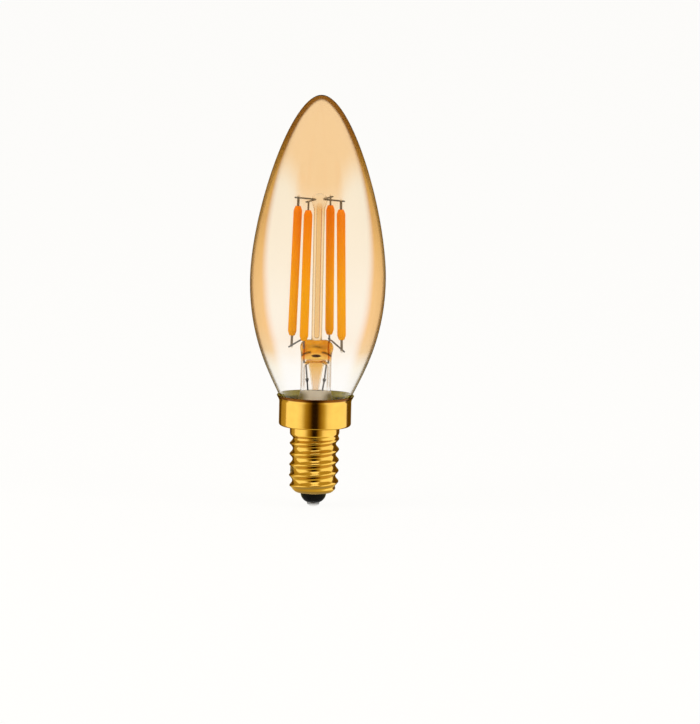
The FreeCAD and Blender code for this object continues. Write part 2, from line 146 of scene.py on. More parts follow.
def carried(path, radii, segments, side):
    # Tube: path(u) + r(u) (cos v normal + sin v binormal), the normal held near one side.
    ways = np.gradient(path, axis=0)
    ways /= np.linalg.norm(ways, axis=1)[:, None]
    normal = np.array(side, dtype=float) - ways * (ways @ np.array(side, dtype=float))[:, None]
    normal /= np.linalg.norm(normal, axis=1)[:, None]
    binormal = np.cross(ways, normal)
    v = np.linspace(0, 2 * pi, segments, endpoint=False)[None, :, None]
    ring = np.cos(v) * normal[:, None] + np.sin(v) * binormal[:, None]
    return path[:, None] + np.asarray(radii)[:, None, None] * ring


# Material helpers

def newMaterial(name):
    # A Principled material: its node tree and its shader
    material = bpy.data.materials.new(name)
    material.use_nodes = True
    tree = material.node_tree
    tree.nodes.clear()
    shader = tree.nodes.new("ShaderNodeBsdfPrincipled")
    output = tree.nodes.new("ShaderNodeOutputMaterial")
    tree.links.new(shader.outputs[0], output.inputs["Surface"])
    return material, tree, shader


def addNode(tree, kind, values=None, **settings):
    # A shader node with its input values and its settings
    node = tree.nodes.new("ShaderNode" + kind)
    for key, value in settings.items():
        setattr(node, key, value)
    for key, value in (values or {}).items():
        node.inputs[key].default_value = value
    return node


def worked(tree, operation, *values):
    # One Math node on numbers or sockets
    node = addNode(tree, "Math", operation=operation)
    for place, value in enumerate(values):
        if isinstance(value, bpy.types.NodeSocket):
            tree.links.new(value, node.inputs[place])
        else:
            node.inputs[place].default_value = value
    return node.outputs[0]


def ramped(tree, value, stops):
    # Colours along a value from 0 to 1, as (place, (r, g, b)) in linear colours
    ramp = addNode(tree, "ValToRGB")
    elements = ramp.color_ramp.elements
    while len(elements) > 1:
        elements.remove(elements[-1])
    elements[0].position = stops[0][0]
    elements[0].color = (*stops[0][1], 1)
    for place, colour in stops[1:]:
        elements.new(place).color = (*colour, 1)
    tree.links.new(value, ramp.inputs["Fac"])
    return ramp.outputs["Color"]


def ownPlace(tree):
    # The object's own x, y and z, in metres
    coordinates = addNode(tree, "TexCoord")
    split = addNode(tree, "SeparateXYZ")
    tree.links.new(coordinates.outputs["Object"], split.inputs[0])
    return [split.outputs[axis] for axis in "XYZ"]


def objectHeight(tree, low, high):
    # 0 at the low height and 1 at the high one, in millimetres on the object's own z
    share = addNode(tree, "MapRange", {"From Min": low * mm, "From Max": high * mm})
    tree.links.new(ownPlace(tree)[2], share.inputs["Value"])
    return share.outputs["Result"]


def grain(tree, scale, detail=3.0, stretch=(1, 1, 1)):
    # Noise on object coordinates; scale is waves per millimetre.
    coordinates = addNode(tree, "TexCoord")
    mapping = addNode(tree, "Mapping", {"Scale": stretch})
    noise = addNode(tree, "TexNoise", {"Scale": scale / mm, "Detail": detail})
    tree.links.new(coordinates.outputs["Object"], mapping.inputs["Vector"])
    tree.links.new(mapping.outputs["Vector"], noise.inputs["Vector"])
    return noise.outputs["Fac"]


def bumped(tree, shader, height, strength, distance):
    # Relief of the given distance in millimetres
    bump = addNode(tree, "Bump", {"Strength": strength, "Distance": distance * mm})
    tree.links.new(height, bump.inputs["Height"])
    tree.links.new(bump.outputs["Normal"], shader.inputs["Normal"])


def rangedTo(tree, value, socket, low, high):
    # Sends 0 to the low figure and 1 to the high one
    spread = addNode(tree, "MapRange", {"To Min": low, "To Max": high})
    tree.links.new(value, spread.inputs["Value"])
    tree.links.new(spread.outputs["Result"], socket)


def stepped(tree, value, low, high):
    # Smooth step from 0 at the low value to 1 at the high one
    share = addNode(tree, "MapRange", {"From Min": low, "From Max": high}, interpolation_type="SMOOTHSTEP")
    tree.links.new(value, share.inputs["Value"])
    return share.outputs["Result"]


def colourMix(tree, share, first, second, blend="MIX"):
    # Mix of two colours, each a socket or a fixed colour.
    mix = addNode(tree, "Mix", data_type="RGBA", blend_type=blend)
    for key, value in (("Factor", share), ("A", first), ("B", second)):
        socket = [s for s in mix.inputs if s.name == key and s.enabled][0]
        if isinstance(value, bpy.types.NodeSocket):
            tree.links.new(value, socket)
        else:
            socket.default_value = value if key == "Factor" else (*value, 1)
    return [s for s in mix.outputs if s.enabled][0]


def coloured(tree, shader, share, first, second):
    # A mix of two colours as the shader's own
    tree.links.new(colourMix(tree, share, first, second), shader.inputs["Base Color"])


def dress(piece, material):
    # The piece's first material
    piece.data.materials.clear()
    piece.data.materials.append(material)


def addMaterial(piece, material, faces):
    # A second material, on the faces that the row of true and false picks
    piece.data.materials.append(material)
    piece.data.polygons.foreach_set("material_index", faces.astype(np.int32))


def faceCentres(piece):
    # Middle of every face, in millimetres
    centres = np.empty(len(piece.data.polygons) * 3)
    piece.data.polygons.foreach_get("center", centres)
    return centres.reshape(-1, 3) / mm


# Heights above the contact's flat, as the CAD stacks them
level = {
    "shellFloor": 3.3,
    "boardFoot": 6.0,
    "boardTop": 17.2,
    "collarFloor": 19.2,
    "lipTop": 26.4,
    "neckFoot": 20.38,
    "neckTop": 22.5,
    "sealFoot": 20.88,
    "sealTop": 22.08,
    "flareTop": 26.58,
    "ceiling": 34.98,
    "pressFoot": 35.58,
    "pressTop": 39.78,
    "filamentFoot": 40.28,
    "knot": 30.68,
    "widest": 54.0,
    "glassTop": 98.0,
}


# Glass materials

glassTint = {
    "heights": (20.0, 98.0),
    "body": [  # height in mm, colour seen through both walls; its change with height is painted light and shade
        (30, (1.000, 0.990, 0.980)),
        (35, (1.000, 0.970, 0.920)),
        (38, (0.985, 0.870, 0.740)),
        (46, (0.985, 0.895, 0.770)),
        (56, (0.980, 0.865, 0.700)),
        (66, (0.965, 0.840, 0.660)),
        (76, (0.945, 0.825, 0.640)),
        (98, (0.945, 0.815, 0.620)),
    ],
    # painted light and shade: the peach top above its arched border
    "peach": (0.925, 0.622, 0.325),
    "peachHeights": (75.5, 85.5),
    "archDrop": 9.5,
    "archFacing": (0.03, 0.15),
    # partly painted shade: the amber band inside the outline, on top of the tint seen through more glass
    "band": [
        (30, (1.000, 0.970, 0.900)),
        (34, (1.000, 0.900, 0.700)),
        (38, (0.880, 0.480, 0.170)),
        (44, (0.930, 0.400, 0.095)),
        (53, (0.880, 0.365, 0.077)),
        (63, (0.770, 0.298, 0.044)),
        (69, (0.620, 0.225, 0.031)),
        (75, (0.560, 0.190, 0.015)),
        (82, (0.360, 0.120, 0.006)),
        (88, (0.094, 0.021, 0.0008)),
        (98, (0.085, 0.019, 0.0008)),
    ],
    # painted shade: the dark outline where the envelope is seen edge-on
    "rim": [
        (20, (0.240, 0.180, 0.090)),
        (30, (0.210, 0.140, 0.055)),
        (35, (0.120, 0.068, 0.022)),
        (43, (0.190, 0.058, 0.006)),
        (52, (0.195, 0.058, 0.007)),
        (57, (0.250, 0.090, 0.014)),
        (69, (0.223, 0.070, 0.005)),
        (78, (0.270, 0.080, 0.006)),
        (83, (0.170, 0.052, 0.002)),
        (89, (0.085, 0.019, 0.0007)),
        (98, (0.080, 0.018, 0.0007)),
    ],
    "rimStart": [  # edge-on share where the painted dark outline starts
        (30, 0.68), (40, 0.69), (54, 0.73), (68, 0.71), (75, 0.66), (82, 0.57),
        (88, 0.50), (93, 0.44), (97, 0.33),
    ],
    "bandStart": [
        (30, 0.42), (40, 0.35), (54, 0.36), (68, 0.43), (82, 0.48), (88, 0.47),
        (93, 0.43), (97, 0.32),
    ],
    "softness": {"band": 0.09, "rim": 0.06},
    "innerCast": (0.992, 0.988, 0.980),
    "ior": 1.45,
    "sheen": (0.30, 0.30, 0.30),
    "roughness": 0.0,
}


def clearGlass(shader, ior, roughness=0.0):
    # Fully transmitting glass with a weak reflection
    shader.inputs["Transmission Weight"].default_value = 1.0
    shader.inputs["IOR"].default_value = ior
    shader.inputs["Roughness"].default_value = roughness
    shader.inputs["Specular Tint"].default_value = (*glassTint["sheen"], 1)


def tintedGlassWithPaintedShade():
    # Tinted glass with painted light and shade: peach above an arched border and cream below, a change by
    # height that stands in for how the light falls; amber and brown where seen edge-on, partly the tint seen
    # through more glass and partly painted shade for the edges' dark reflections.
    material, tree, shader = newMaterial("tintedGlassWithPaintedShade")
    low, high = glassTint["heights"]
    height = objectHeight(tree, low, high)
    facing = addNode(tree, "LayerWeight", {"Blend": 0.5}).outputs["Facing"]
    tints = {}
    for key in ("body", "band", "rim", "rimStart", "bandStart"):
        stops = [((z - low) / (high - low), value if isinstance(value, tuple) else (value,) * 3)
                 for z, value in glassTint[key]]
        tints[key] = ramped(tree, height, stops)
    arch = worked(tree, "MULTIPLY", stepped(tree, facing, *glassTint["archFacing"]),
                  -glassTint["archDrop"] / (high - low))
    border = [(z - low - glassTint["archDrop"]) / (high - low) for z in glassTint["peachHeights"]]
    share = stepped(tree, worked(tree, "ADD", height, arch), *border)
    colour = colourMix(tree, share, tints["body"], glassTint["peach"])
    for key in ("band", "rim"):
        past = worked(tree, "SUBTRACT", facing, tints[key + "Start"])
        soft = glassTint["softness"][key]
        colour = colourMix(tree, stepped(tree, past, -soft, soft), colour, tints[key])
    tree.links.new(colour, shader.inputs["Base Color"])
    clearGlass(shader, glassTint["ior"], glassTint["roughness"])
    return material


def innerGlass():
    # The envelope's bare inner skin: clear, with a faint smoky cast
    material, tree, shader = newMaterial("innerGlass")
    coloured(tree, shader, grain(tree, 0.05, 2.0), glassTint["innerCast"], (1, 1, 1))
    clearGlass(shader, glassTint["ior"], glassTint["roughness"])
    return material


stemGlassLook = {
    # edge colours: painted shade where the glass is seen edge-on
    "clear": {"colour": (0.990, 0.975, 0.955), "edge": (0.40, 0.29, 0.19), "edgeFacing": (0.40, 0.60)},
    "pillar": {"colour": (0.930, 0.780, 0.560), "edge": (0.66, 0.42, 0.18), "edgeFacing": (0.28, 0.60)},
    "press": {"colour": (0.900, 0.430, 0.030), "edge": (0.560, 0.200, 0.010), "edgeFacing": (0.50, 0.95)},
    "funnel": {"colour": (0.930, 0.800, 0.660), "edge": (0.66, 0.47, 0.28), "edgeFacing": (0.45, 0.90)},
    "funnelTop": (0.920, 0.700, 0.370),
    "funnelGold": (6.0, 1.0),  # mm under the press: where the gold starts and is full
    "bead": (0.995, 0.950, 0.870),
    "pressDeep": (0.680, 0.240, 0.012),
    # painted shade: the colour of the press's dark arcs and the hole's dark oval
    "pressShadeColour": (0.004, 0.0006, 0.0001),
    "arc": {
        "height": 37.15,
        "bow": 210.0,
        "from": 1.3,
        "reach": (1.0, 1.5, 3.4, 3.9),
        "half": (0.12, 0.38),
        "depth": 0.93,
    },
    "hole": {"height": 36.40, "halfWidth": 1.15, "halfHeight": 0.34, "edge": (1.5, 0.6)},
    "frontBlend": 0.3,  # mm before and behind the axis where the painted shade fades out
    "mottle": (0.35, 0.65),
    "pressFade": 0.5,  # mm below the tube's ceiling where the amber starts
    "edgeFrom": (0.8, 2.4),  # mm above the flare: where the tube's painted edge shade starts to show and is full
    "beadFade": (-0.9, 0.5),
    "ior": 1.20,
    "pillarIor": 1.12,
    "pillarRoughness": 0.15,
    "beadRoughness": 0.60,
    "pressRoughness": 0.22,
    "seal": (1.000, 0.880, 0.680),
    # painted shade: the olive at the seal's sides
    "sealSideShade": (0.290, 0.205, 0.040),
    "sealReach": (1.1, 3.6),
    "sealTop": 28.2,
    "sealSlant": 0.14,  # mm lower for each mm towards the back
    "sealFade": 1.2,
    "sealClearness": 0.12,
    "sealRoughness": 0.35,
}


def paintedEdgeShade(tree, key):
    # A look's colour, turning to its edge colour where the glass is seen edge-on: painted shade standing in
    # for the edges' refraction
    look = stemGlassLook[key]
    facing = addNode(tree, "LayerWeight", {"Blend": 0.5}).outputs["Facing"]
    return colourMix(tree, stepped(tree, facing, *look["edgeFacing"]), look["colour"], look["edge"])


def funnelGlass():
    # Smoky drawn glass with painted shade at its edges, gold under the press
    material, tree, shader = newMaterial("funnelGlass")
    share = objectHeight(tree, *[level["ceiling"] - drop for drop in stemGlassLook["funnelGold"]])
    coloured(tree, shader, share, paintedEdgeShade(tree, "funnel"), stemGlassLook["funnelTop"])
    clearGlass(shader, stemGlassLook["ior"])
    return material


def pillarGlass(beadFoot):
    # Smoky tan tube below with painted shade at its edges, pale and clouded where it is melted to the bead.
    material, tree, shader = newMaterial("pillarGlass")
    share = objectHeight(tree, *[beadFoot + reach for reach in stemGlassLook["beadFade"]])
    coloured(tree, shader, share, paintedEdgeShade(tree, "pillar"), stemGlassLook["bead"])
    clearGlass(shader, stemGlassLook["pillarIor"])
    rangedTo(tree, share, shader.inputs["Roughness"], stemGlassLook["pillarRoughness"],
             stemGlassLook["beadRoughness"])
    return material


def paintedPressShade(tree):
    # Painted shade on the press's front only: a dark oval where the hole is, and on each side a dark arc
    # where the pressed faces meet the crown, of the height z = height - bow (|x| - from)^2
    arc, hole = stemGlassLook["arc"], stemGlassLook["hole"]
    x, y, z = ownPlace(tree)
    across = worked(tree, "ABSOLUTE", x)
    offset = worked(tree, "SUBTRACT", across, arc["from"] * mm)
    bowed = worked(tree, "MULTIPLY", worked(tree, "MULTIPLY", offset, offset), arc["bow"])
    below = worked(tree, "SUBTRACT", arc["height"] * mm, bowed)
    apart = worked(tree, "ABSOLUTE", worked(tree, "SUBTRACT", z, below))
    near, far = arc["half"]
    inner, full, fading, outer = [reach * mm for reach in arc["reach"]]
    line = stepped(tree, apart, far * mm, near * mm)
    line = worked(tree, "MULTIPLY", line, stepped(tree, across, inner, full))
    line = worked(tree, "MULTIPLY", line, stepped(tree, across, outer, fading))
    line = worked(tree, "MULTIPLY", line, arc["depth"])
    wide = worked(tree, "DIVIDE", across, hole["halfWidth"] * mm)
    tall = worked(tree, "DIVIDE", worked(tree, "SUBTRACT", z, hole["height"] * mm), hole["halfHeight"] * mm)
    oval = worked(tree, "ADD", worked(tree, "MULTIPLY", wide, wide), worked(tree, "MULTIPLY", tall, tall))
    shadeShare = worked(tree, "MAXIMUM", line, stepped(tree, oval, *hole["edge"]))
    soft = stemGlassLook["frontBlend"] * mm
    return worked(tree, "MULTIPLY", shadeShare, stepped(tree, y, soft, -soft))


def flareGlass():
    # The stem's one piece of glass: clear tube below with painted shade at its edges, mottled amber where it
    # is pressed round the leads, and on the press's front painted dark arcs and the hole's painted dark
    # oval.
    material, tree, shader = newMaterial("stemGlass")
    height = objectHeight(tree, level["ceiling"] - stemGlassLook["pressFade"], level["pressFoot"])
    deep = colourMix(tree, stepped(tree, grain(tree, 0.45, 3.0), *stemGlassLook["mottle"]),
                     paintedEdgeShade(tree, "press"), stemGlassLook["pressDeep"])
    shadeMarked = colourMix(tree, paintedPressShade(tree), deep, stemGlassLook["pressShadeColour"])
    flared = objectHeight(tree, *[level["flareTop"] + reach for reach in stemGlassLook["edgeFrom"]])
    clear = colourMix(tree, flared, stemGlassLook["clear"]["colour"], paintedEdgeShade(tree, "clear"))
    coloured(tree, shader, height, clear, shadeMarked)
    clearGlass(shader, stemGlassLook["ior"])
    rangedTo(tree, height, shader.inputs["Roughness"], 0.0, stemGlassLook["pressRoughness"])
    return material


def sealGlass():
    # Milky where the flare is fused to the envelope's neck; olive at its sides, painted shade and reflection
    # of the cap's lining
    material, tree, shader = newMaterial("sealGlass")
    near, far = stemGlassLook["sealReach"]
    sideways = stepped(tree, worked(tree, "ABSOLUTE", ownPlace(tree)[0]), near * mm, far * mm)
    sealTop = stemGlassLook["sealTop"]
    downwards = objectHeight(tree, sealTop, sealTop - stemGlassLook["sealFade"])
    share = worked(tree, "MULTIPLY", sideways, downwards)
    coloured(tree, shader, share, stemGlassLook["seal"], stemGlassLook["sealSideShade"])
    clearGlass(shader, stemGlassLook["ior"], stemGlassLook["sealRoughness"])
    shader.inputs["Transmission Weight"].default_value = stemGlassLook["sealClearness"]
    return material


# Envelope
envelope = {
    "neckRadius": 7.3,
    "radius": 16.05,
    "waistReach": 18.3,
    "shoulderReach": 15.3,
    "tipReach": 7.35,
    "neckHandle": 4.011,
    "wall": 0.65,
    "tipWall": 0.9,
    "rimRounding": 0.25,
    "segments": 224,
    "steps": 96,
}


def envelopeCurve(wall, tip):
    # Neck to belly to tip: two cubic curves that meet upright at the widest height.
    widest = envelope["radius"] - wall
    neck = envelope["neckRadius"] - wall
    belly, top = level["widest"], level["glassTop"] - tip
    lower = bezier([
        (neck, level["neckTop"]),
        (neck, level["neckTop"] + envelope["neckHandle"]),
        (widest, belly - envelope["waistReach"]),
        (widest, belly),
    ], envelope["steps"])
    upper = bezier([
        (widest, belly),
        (widest, belly + envelope["shoulderReach"]),
        (envelope["tipReach"] - wall, top),
        (0, top),
    ], envelope["steps"])
    return np.vstack([lower, upper[1:]])


def makeEnvelope():
    # Turned: down the inner curve, round the neck's rim and up the outer curve.
    inner = envelopeCurve(envelope["wall"], envelope["tipWall"])[::-1]
    outer = envelopeCurve(0, 0)
    bore = envelope["neckRadius"] - envelope["wall"]
    foot = level["neckFoot"]
    rim = filleted([
        (bore, level["neckTop"]),
        (bore, foot),
        (envelope["neckRadius"], foot),
        (envelope["neckRadius"], level["neckTop"]),
    ], [envelope["rimRounding"]] * 2, 5)
    run = np.vstack([inner, refined(rim, 0.5)[1:-1], outer])
    piece = gridMesh("glassEnvelope", turned(run, envelope["segments"]), poles=(True, True))
    dress(piece, tintedGlassWithPaintedShade())
    centres = faceCentres(piece)
    middle = envelopeCurve(envelope["wall"] / 2, envelope["tipWall"] / 2)
    between = np.interp(centres[:, 2], middle[:, 1], middle[:, 0])
    addMaterial(piece, innerGlass(), np.hypot(centres[:, 0], centres[:, 1]) < between)
    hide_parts("glass_envelope")


makeEnvelope()
print("envelope done")


# Stem: flare, tube and press in one piece of glass
stem = {
    "wall": 0.65,
    "flareBend": 4.5,
    "sealBend": 1.0,
    "tubeRadius": 3.65,
    "ceilingRounding": 2.0,
    "halfWidth": 4.1,
    "halfDepth": 1.5,
    "blend": 0.85,
    "crown": 0.55,
    "crownInset": (1.9, 1.1),
    "segments": 128,
    "pressRows": 44,
    "waver": 0.05,
    "spacing": 0.25,
}


def makeStem():
    # Turned below the press; in it each row is an ellipse that flattens upwards to a rounded crown.
    bore = envelope["neckRadius"] - envelope["wall"] - sliver
    outer = [
        (stem["tubeRadius"], level["pressFoot"]),
        (stem["tubeRadius"], level["flareTop"]),
        (bore, level["sealTop"]),
        (bore, level["sealFoot"]),
    ]
    bends = [stem["flareBend"], stem["sealBend"]]
    inner, innerBends = offsetCorners(outer, bends, -stem["wall"])
    inner[0] = (stem["tubeRadius"] - stem["wall"], level["ceiling"])
    inside = filleted(np.vstack([[0, level["ceiling"]], inner]), [stem["ceilingRounding"], *innerBends], 14)
    outside = filleted(outer, bends, 14)[::-1]
    lowRun = np.vstack([refined(inside, stem["spacing"]), refined(outside, stem["spacing"])])
    v = np.linspace(0, 2 * pi, stem["segments"], endpoint=False)
    low = turned(lowRun, stem["segments"])
    rise = level["pressTop"] - level["pressFoot"]
    share = np.concatenate([
        np.linspace(0, 1 - stem["crown"], stem["pressRows"], endpoint=False)[1:],
        1 - stem["crown"] * (1 - np.sin(np.linspace(0, pi / 2, 16))),
    ])
    flat = smoothStep(0, stem["blend"], share)
    crown = np.clip((share - 1 + stem["crown"]) / stem["crown"], 0, 1)
    rounding = 1 - np.sqrt(1 - crown ** 2)
    wide, deep = stem["crownInset"]
    halfWidth = stem["tubeRadius"] + (stem["halfWidth"] - stem["tubeRadius"]) * flat - wide * rounding
    halfDepth = stem["tubeRadius"] + (stem["halfDepth"] - stem["tubeRadius"]) * flat - deep * rounding
    waver = 1 + stem["waver"] * flat[:, None] * (1 - crown[:, None]) * np.sin(3 * v + 0.7)
    press = np.stack([
        halfWidth[:, None] * np.cos(v) * waver,
        halfDepth[:, None] * np.sin(v) * waver,
        (level["pressFoot"] + rise * share)[:, None] + 0 * v,
    ], axis=-1)
    top = np.zeros((1, stem["segments"], 3))
    top[..., 2] = level["pressTop"] + 3 * sliver
    grid = np.concatenate([low, press, top])
    piece = gridMesh("stemFlare", grid, poles=(True, True))
    dress(piece, flareGlass())
    centres = faceCentres(piece)
    slant = stemGlassLook["sealSlant"] * (centres[:, 1] + stem["tubeRadius"])
    addMaterial(piece, sealGlass(), centres[:, 2] + slant < stemGlassLook["sealTop"])
    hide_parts("stem_flare")


makeStem()


# Exhaust tube, its funnel fused under the press
exhaust = {
    "funnelRadius": 1.95,
    "funnelLength": 6.6,
    "radius": 0.9,
    "wall": 0.35,
    "bend": 5.0,
    "tipGap": 0.6,
    "tipLength": 1.1,
    "segments": 72,
    "spacing": 0.8,
}


def makeExhaust():
    # Turned: out from the closed tip, up the funnel, and back down the bore.
    tip = level["boardTop"] + exhaust["tipGap"]
    wall = exhaust["wall"]
    top = level["ceiling"] - 2 * sliver
    waist = level["ceiling"] - exhaust["funnelLength"]
    outer = filleted([
        (0, tip),
        (exhaust["radius"], tip + exhaust["tipLength"]),
        (exhaust["radius"], waist),
        (exhaust["funnelRadius"], top),
    ], [wall, exhaust["bend"]], 12)
    inner = filleted([
        (exhaust["funnelRadius"] - wall, top),
        (exhaust["radius"] - wall, waist),
        (exhaust["radius"] - wall, tip + exhaust["tipLength"] + wall),
        (0, tip + 2 * wall),
    ], [exhaust["bend"], wall], 12)
    run = np.vstack([refined(outer, exhaust["spacing"]), refined(inner, exhaust["spacing"])])
    piece = gridMesh("exhaustTube", turned(run, exhaust["segments"]), poles=(True, True))
    dress(piece, funnelGlass())
    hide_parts("exhaust_tube")


makeExhaust()


# Sizes of the filaments, tabs and wires; the pillar's bead takes its height from them
filament = {
    "count": 4,
    "turn": 153.0,
    "length": 30.9,
    "radius": 1.02,
    "endRadius": 0.65,
    "taper": 1.1,
    "topRing": 5.7,
    "footRing": 6.6,
    "bends": [0.22, 0.8, 0.8, 0.22],
    "segments": 48,
    "spacing": 0.8,
}
tab = {
    "width": 0.6,
    "thickness": 0.25,
    "embed": 1.0,
    "overhang": 0.6,
}
wire = {
    "radius": 0.2,
    "bend": 0.6,
    "tail": 0.95,
    "seat": 0.05,
    "topHeight": 2.0,
    "outerFootDrop": 2.4,
    "innerFootDrop": 1.3,
    "beadOffset": 0.8,
    "leadSpacing": 2.95,
    "leadRise": 0.38,
    "knotSpacing": 2.1,
    "waistDrop": 4.9,
    "waists": [(-1.7, 0.9), (1.2, -1.4)],
    "padSpacing": 2.6,
    "padDrop": 1.4,
    "boardSetback": 1.3,
    "boardThickness": 0.8,
    "pinOverhang": 0.25,
    "pinBend": 0.4,
    "weld": (0.06, 0.34, 0.3),  # share of the path, radius, half length
    "knot": (0.02, 0.42, 0.42),
    "side": (0.12, -0.99, 0.05),
    "segments": 14,
    "spacing": 0.35,
}


def filamentFrame(number):
    # Foot point and the three axes of a filament: outwards, across and along.
    turn = radians(filament["turn"] + 360.0 * number / filament["count"])
    radial = np.array([cos(turn), sin(turn), 0])
    lean = filament["footRing"] - filament["topRing"]
    rise = sqrt(filament["length"] ** 2 - lean ** 2)
    along = np.array([0, 0, rise]) - radial * lean
    along /= np.linalg.norm(along)
    across = np.array([-radial[1], radial[0], 0])
    foot = radial * filament["footRing"] + np.array([0, 0, level["filamentFoot"]])
    return foot, np.cross(across, along), across, along


def onFilament(number, outwards, across, along):
    # The point at three distances along a filament's own axes
    foot, outAxis, acrossAxis, alongAxis = filamentFrame(number)
    return foot + outAxis * outwards + acrossAxis * across + alongAxis * along


def wireSpot(number, height, way):
    # Where a wire lies on one flat of a filament's tab
    offset = tab["thickness"] / 2 + wire["radius"] - wire["seat"]
    return onFilament(number, 0, way * offset, height)


def withTail(start, end):
    # The end carried on past its weld
    way = end - start
    return end + way / np.linalg.norm(way) * wire["tail"]


def halfTurned(points, side):
    # The left side's points, or for the right side the same turned half round the axis
    points = np.array(points, dtype=float)
    return points * np.array([-1, -1, 1]) if side else points


# Support pillar with the bead at its top
pillar = {
    "radius": 1.3,
    "boreRadius": 0.6,
    "boreFloor": 0.4,
    "footBevel": 0.05,
    "beadRadius": 1.85,
    "beadHeight": 2.8,
    "beadNeck": 1.6,
    "segments": 72,
    "spacing": 1.2,
}


def makePillar():
    # Outside from the foot up over the bead, and the closed bore as a second surface inside.
    wireHeight = wireSpot(0, filament["length"] + wire["topHeight"], 1)[2]
    half = pillar["beadHeight"] / 2
    low, high = wireHeight - half, wireHeight + half
    foot = level["pressTop"] + 2 * sliver
    side = bezier([
        (pillar["radius"], low - pillar["beadNeck"]),
        (pillar["radius"], low),
        (pillar["beadRadius"], low),
        (pillar["beadRadius"], wireHeight),
    ], 24)
    dome = bezier([
        (pillar["beadRadius"], wireHeight),
        (pillar["beadRadius"], high - half / 3),
        (pillar["beadRadius"] / 2, high),
        (0, high),
    ], 24)
    run = np.vstack([[(0, foot), (pillar["radius"] - pillar["footBevel"], foot)], side, dome[1:]])
    outside = turned(refined(run, pillar["spacing"]), pillar["segments"])
    bend = np.linspace(0, pi / 2, 10)[:, None]
    radius = pillar["boreRadius"]
    boreFoot = foot + pillar["boreFloor"]
    cap = radius * np.hstack([np.sin(bend), -np.cos(bend)]) + (0, boreFoot + radius)
    head = radius * np.hstack([np.cos(bend), np.sin(bend)]) + (0, low)
    bore = turned(refined(np.vstack([cap, head]), pillar["spacing"])[::-1], pillar["segments"])
    material = pillarGlass(low)
    piece = gridMesh("supportPillar", outside, poles=(True, True))
    inner = gridMesh("pillarBore", bore, poles=(True, True))
    for part in (piece, inner):
        dress(part, material)
    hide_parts("support_pillar")


makePillar()
print("stem, exhaust tube and pillar done")


# Filaments and their tabs

phosphorLook = {
    "stops": [
        (0.00, (1.000, 0.420, 0.004)),
        (0.35, (1.000, 0.440, 0.004)),
        (0.64, (1.000, 0.356, 0.003)),
        (0.90, (1.000, 0.290, 0.003)),
    ],
    "mottle": (0.97, 0.95, 0.92),
    "roughness": 0.80,
    "specular": 0.10,
    "bump": 0.03,
}
tabLook = {
    "worn": ((0.18, 0.14, 0.10), (0.28, 0.24, 0.18)),
    "bright": (0.97, 0.93, 0.86),
    "roughness": (0.25, 0.50),
    "pastWeld": (0.1, 0.3),  # mm past the weld: where the strip starts to be bright and is
}


def phosphorMaterial():
    # Silicone and phosphor coating: deeper orange towards the top, faintly mottled and pitted.
    material, tree, shader = newMaterial("phosphorCoating")
    height = objectHeight(tree, level["filamentFoot"], level["filamentFoot"] + filament["length"])
    orange = ramped(tree, height, phosphorLook["stops"])
    shade = colourMix(tree, grain(tree, 1.3, 4.0), phosphorLook["mottle"], (1, 1, 1))
    tree.links.new(colourMix(tree, 1.0, orange, shade, "MULTIPLY"), shader.inputs["Base Color"])
    shader.inputs["Roughness"].default_value = phosphorLook["roughness"]
    shader.inputs["Specular IOR Level"].default_value = phosphorLook["specular"]
    bumped(tree, shader, grain(tree, 7.0, 3.0), 0.2, phosphorLook["bump"])
    return material


def tabMaterial(name, weld, way):
    # Oxidised strip, bright beyond its weld: upwards where the way is 1, downwards where it is -1
    material, tree, shader = newMaterial(name)
    patches = grain(tree, 3.0, 4.0)
    worn = colourMix(tree, patches, *tabLook["worn"])
    share = objectHeight(tree, *[weld + way * reach for reach in tabLook["pastWeld"]])
    coloured(tree, shader, share, worn, tabLook["bright"])
    rangedTo(tree, patches, shader.inputs["Roughness"], *tabLook["roughness"])
    shader.inputs["Metallic"].default_value = 1.0
    bumped(tree, shader, grain(tree, 12.0, 2.0), 0.35, 0.02)
    return material


def flatStrip(path, halfWidth, halfThickness, wide, thin):
    # Rounded-rectangle section: the superellipse (|cos v|^0.35, |sin v|^0.35) scaled to the strip.
    v = np.linspace(0, 2 * pi, 28, endpoint=False)
    x = np.sign(np.cos(v)) * np.abs(np.cos(v)) ** 0.35
    y = np.sign(np.sin(v)) * np.abs(np.sin(v)) ** 0.35
    section = x[:, None] * wide, y[:, None] * thin
    scale = np.asarray(halfWidth)[:, None, None]
    return path[:, None] + section[0] * scale + section[1] * halfThickness * np.sign(scale)


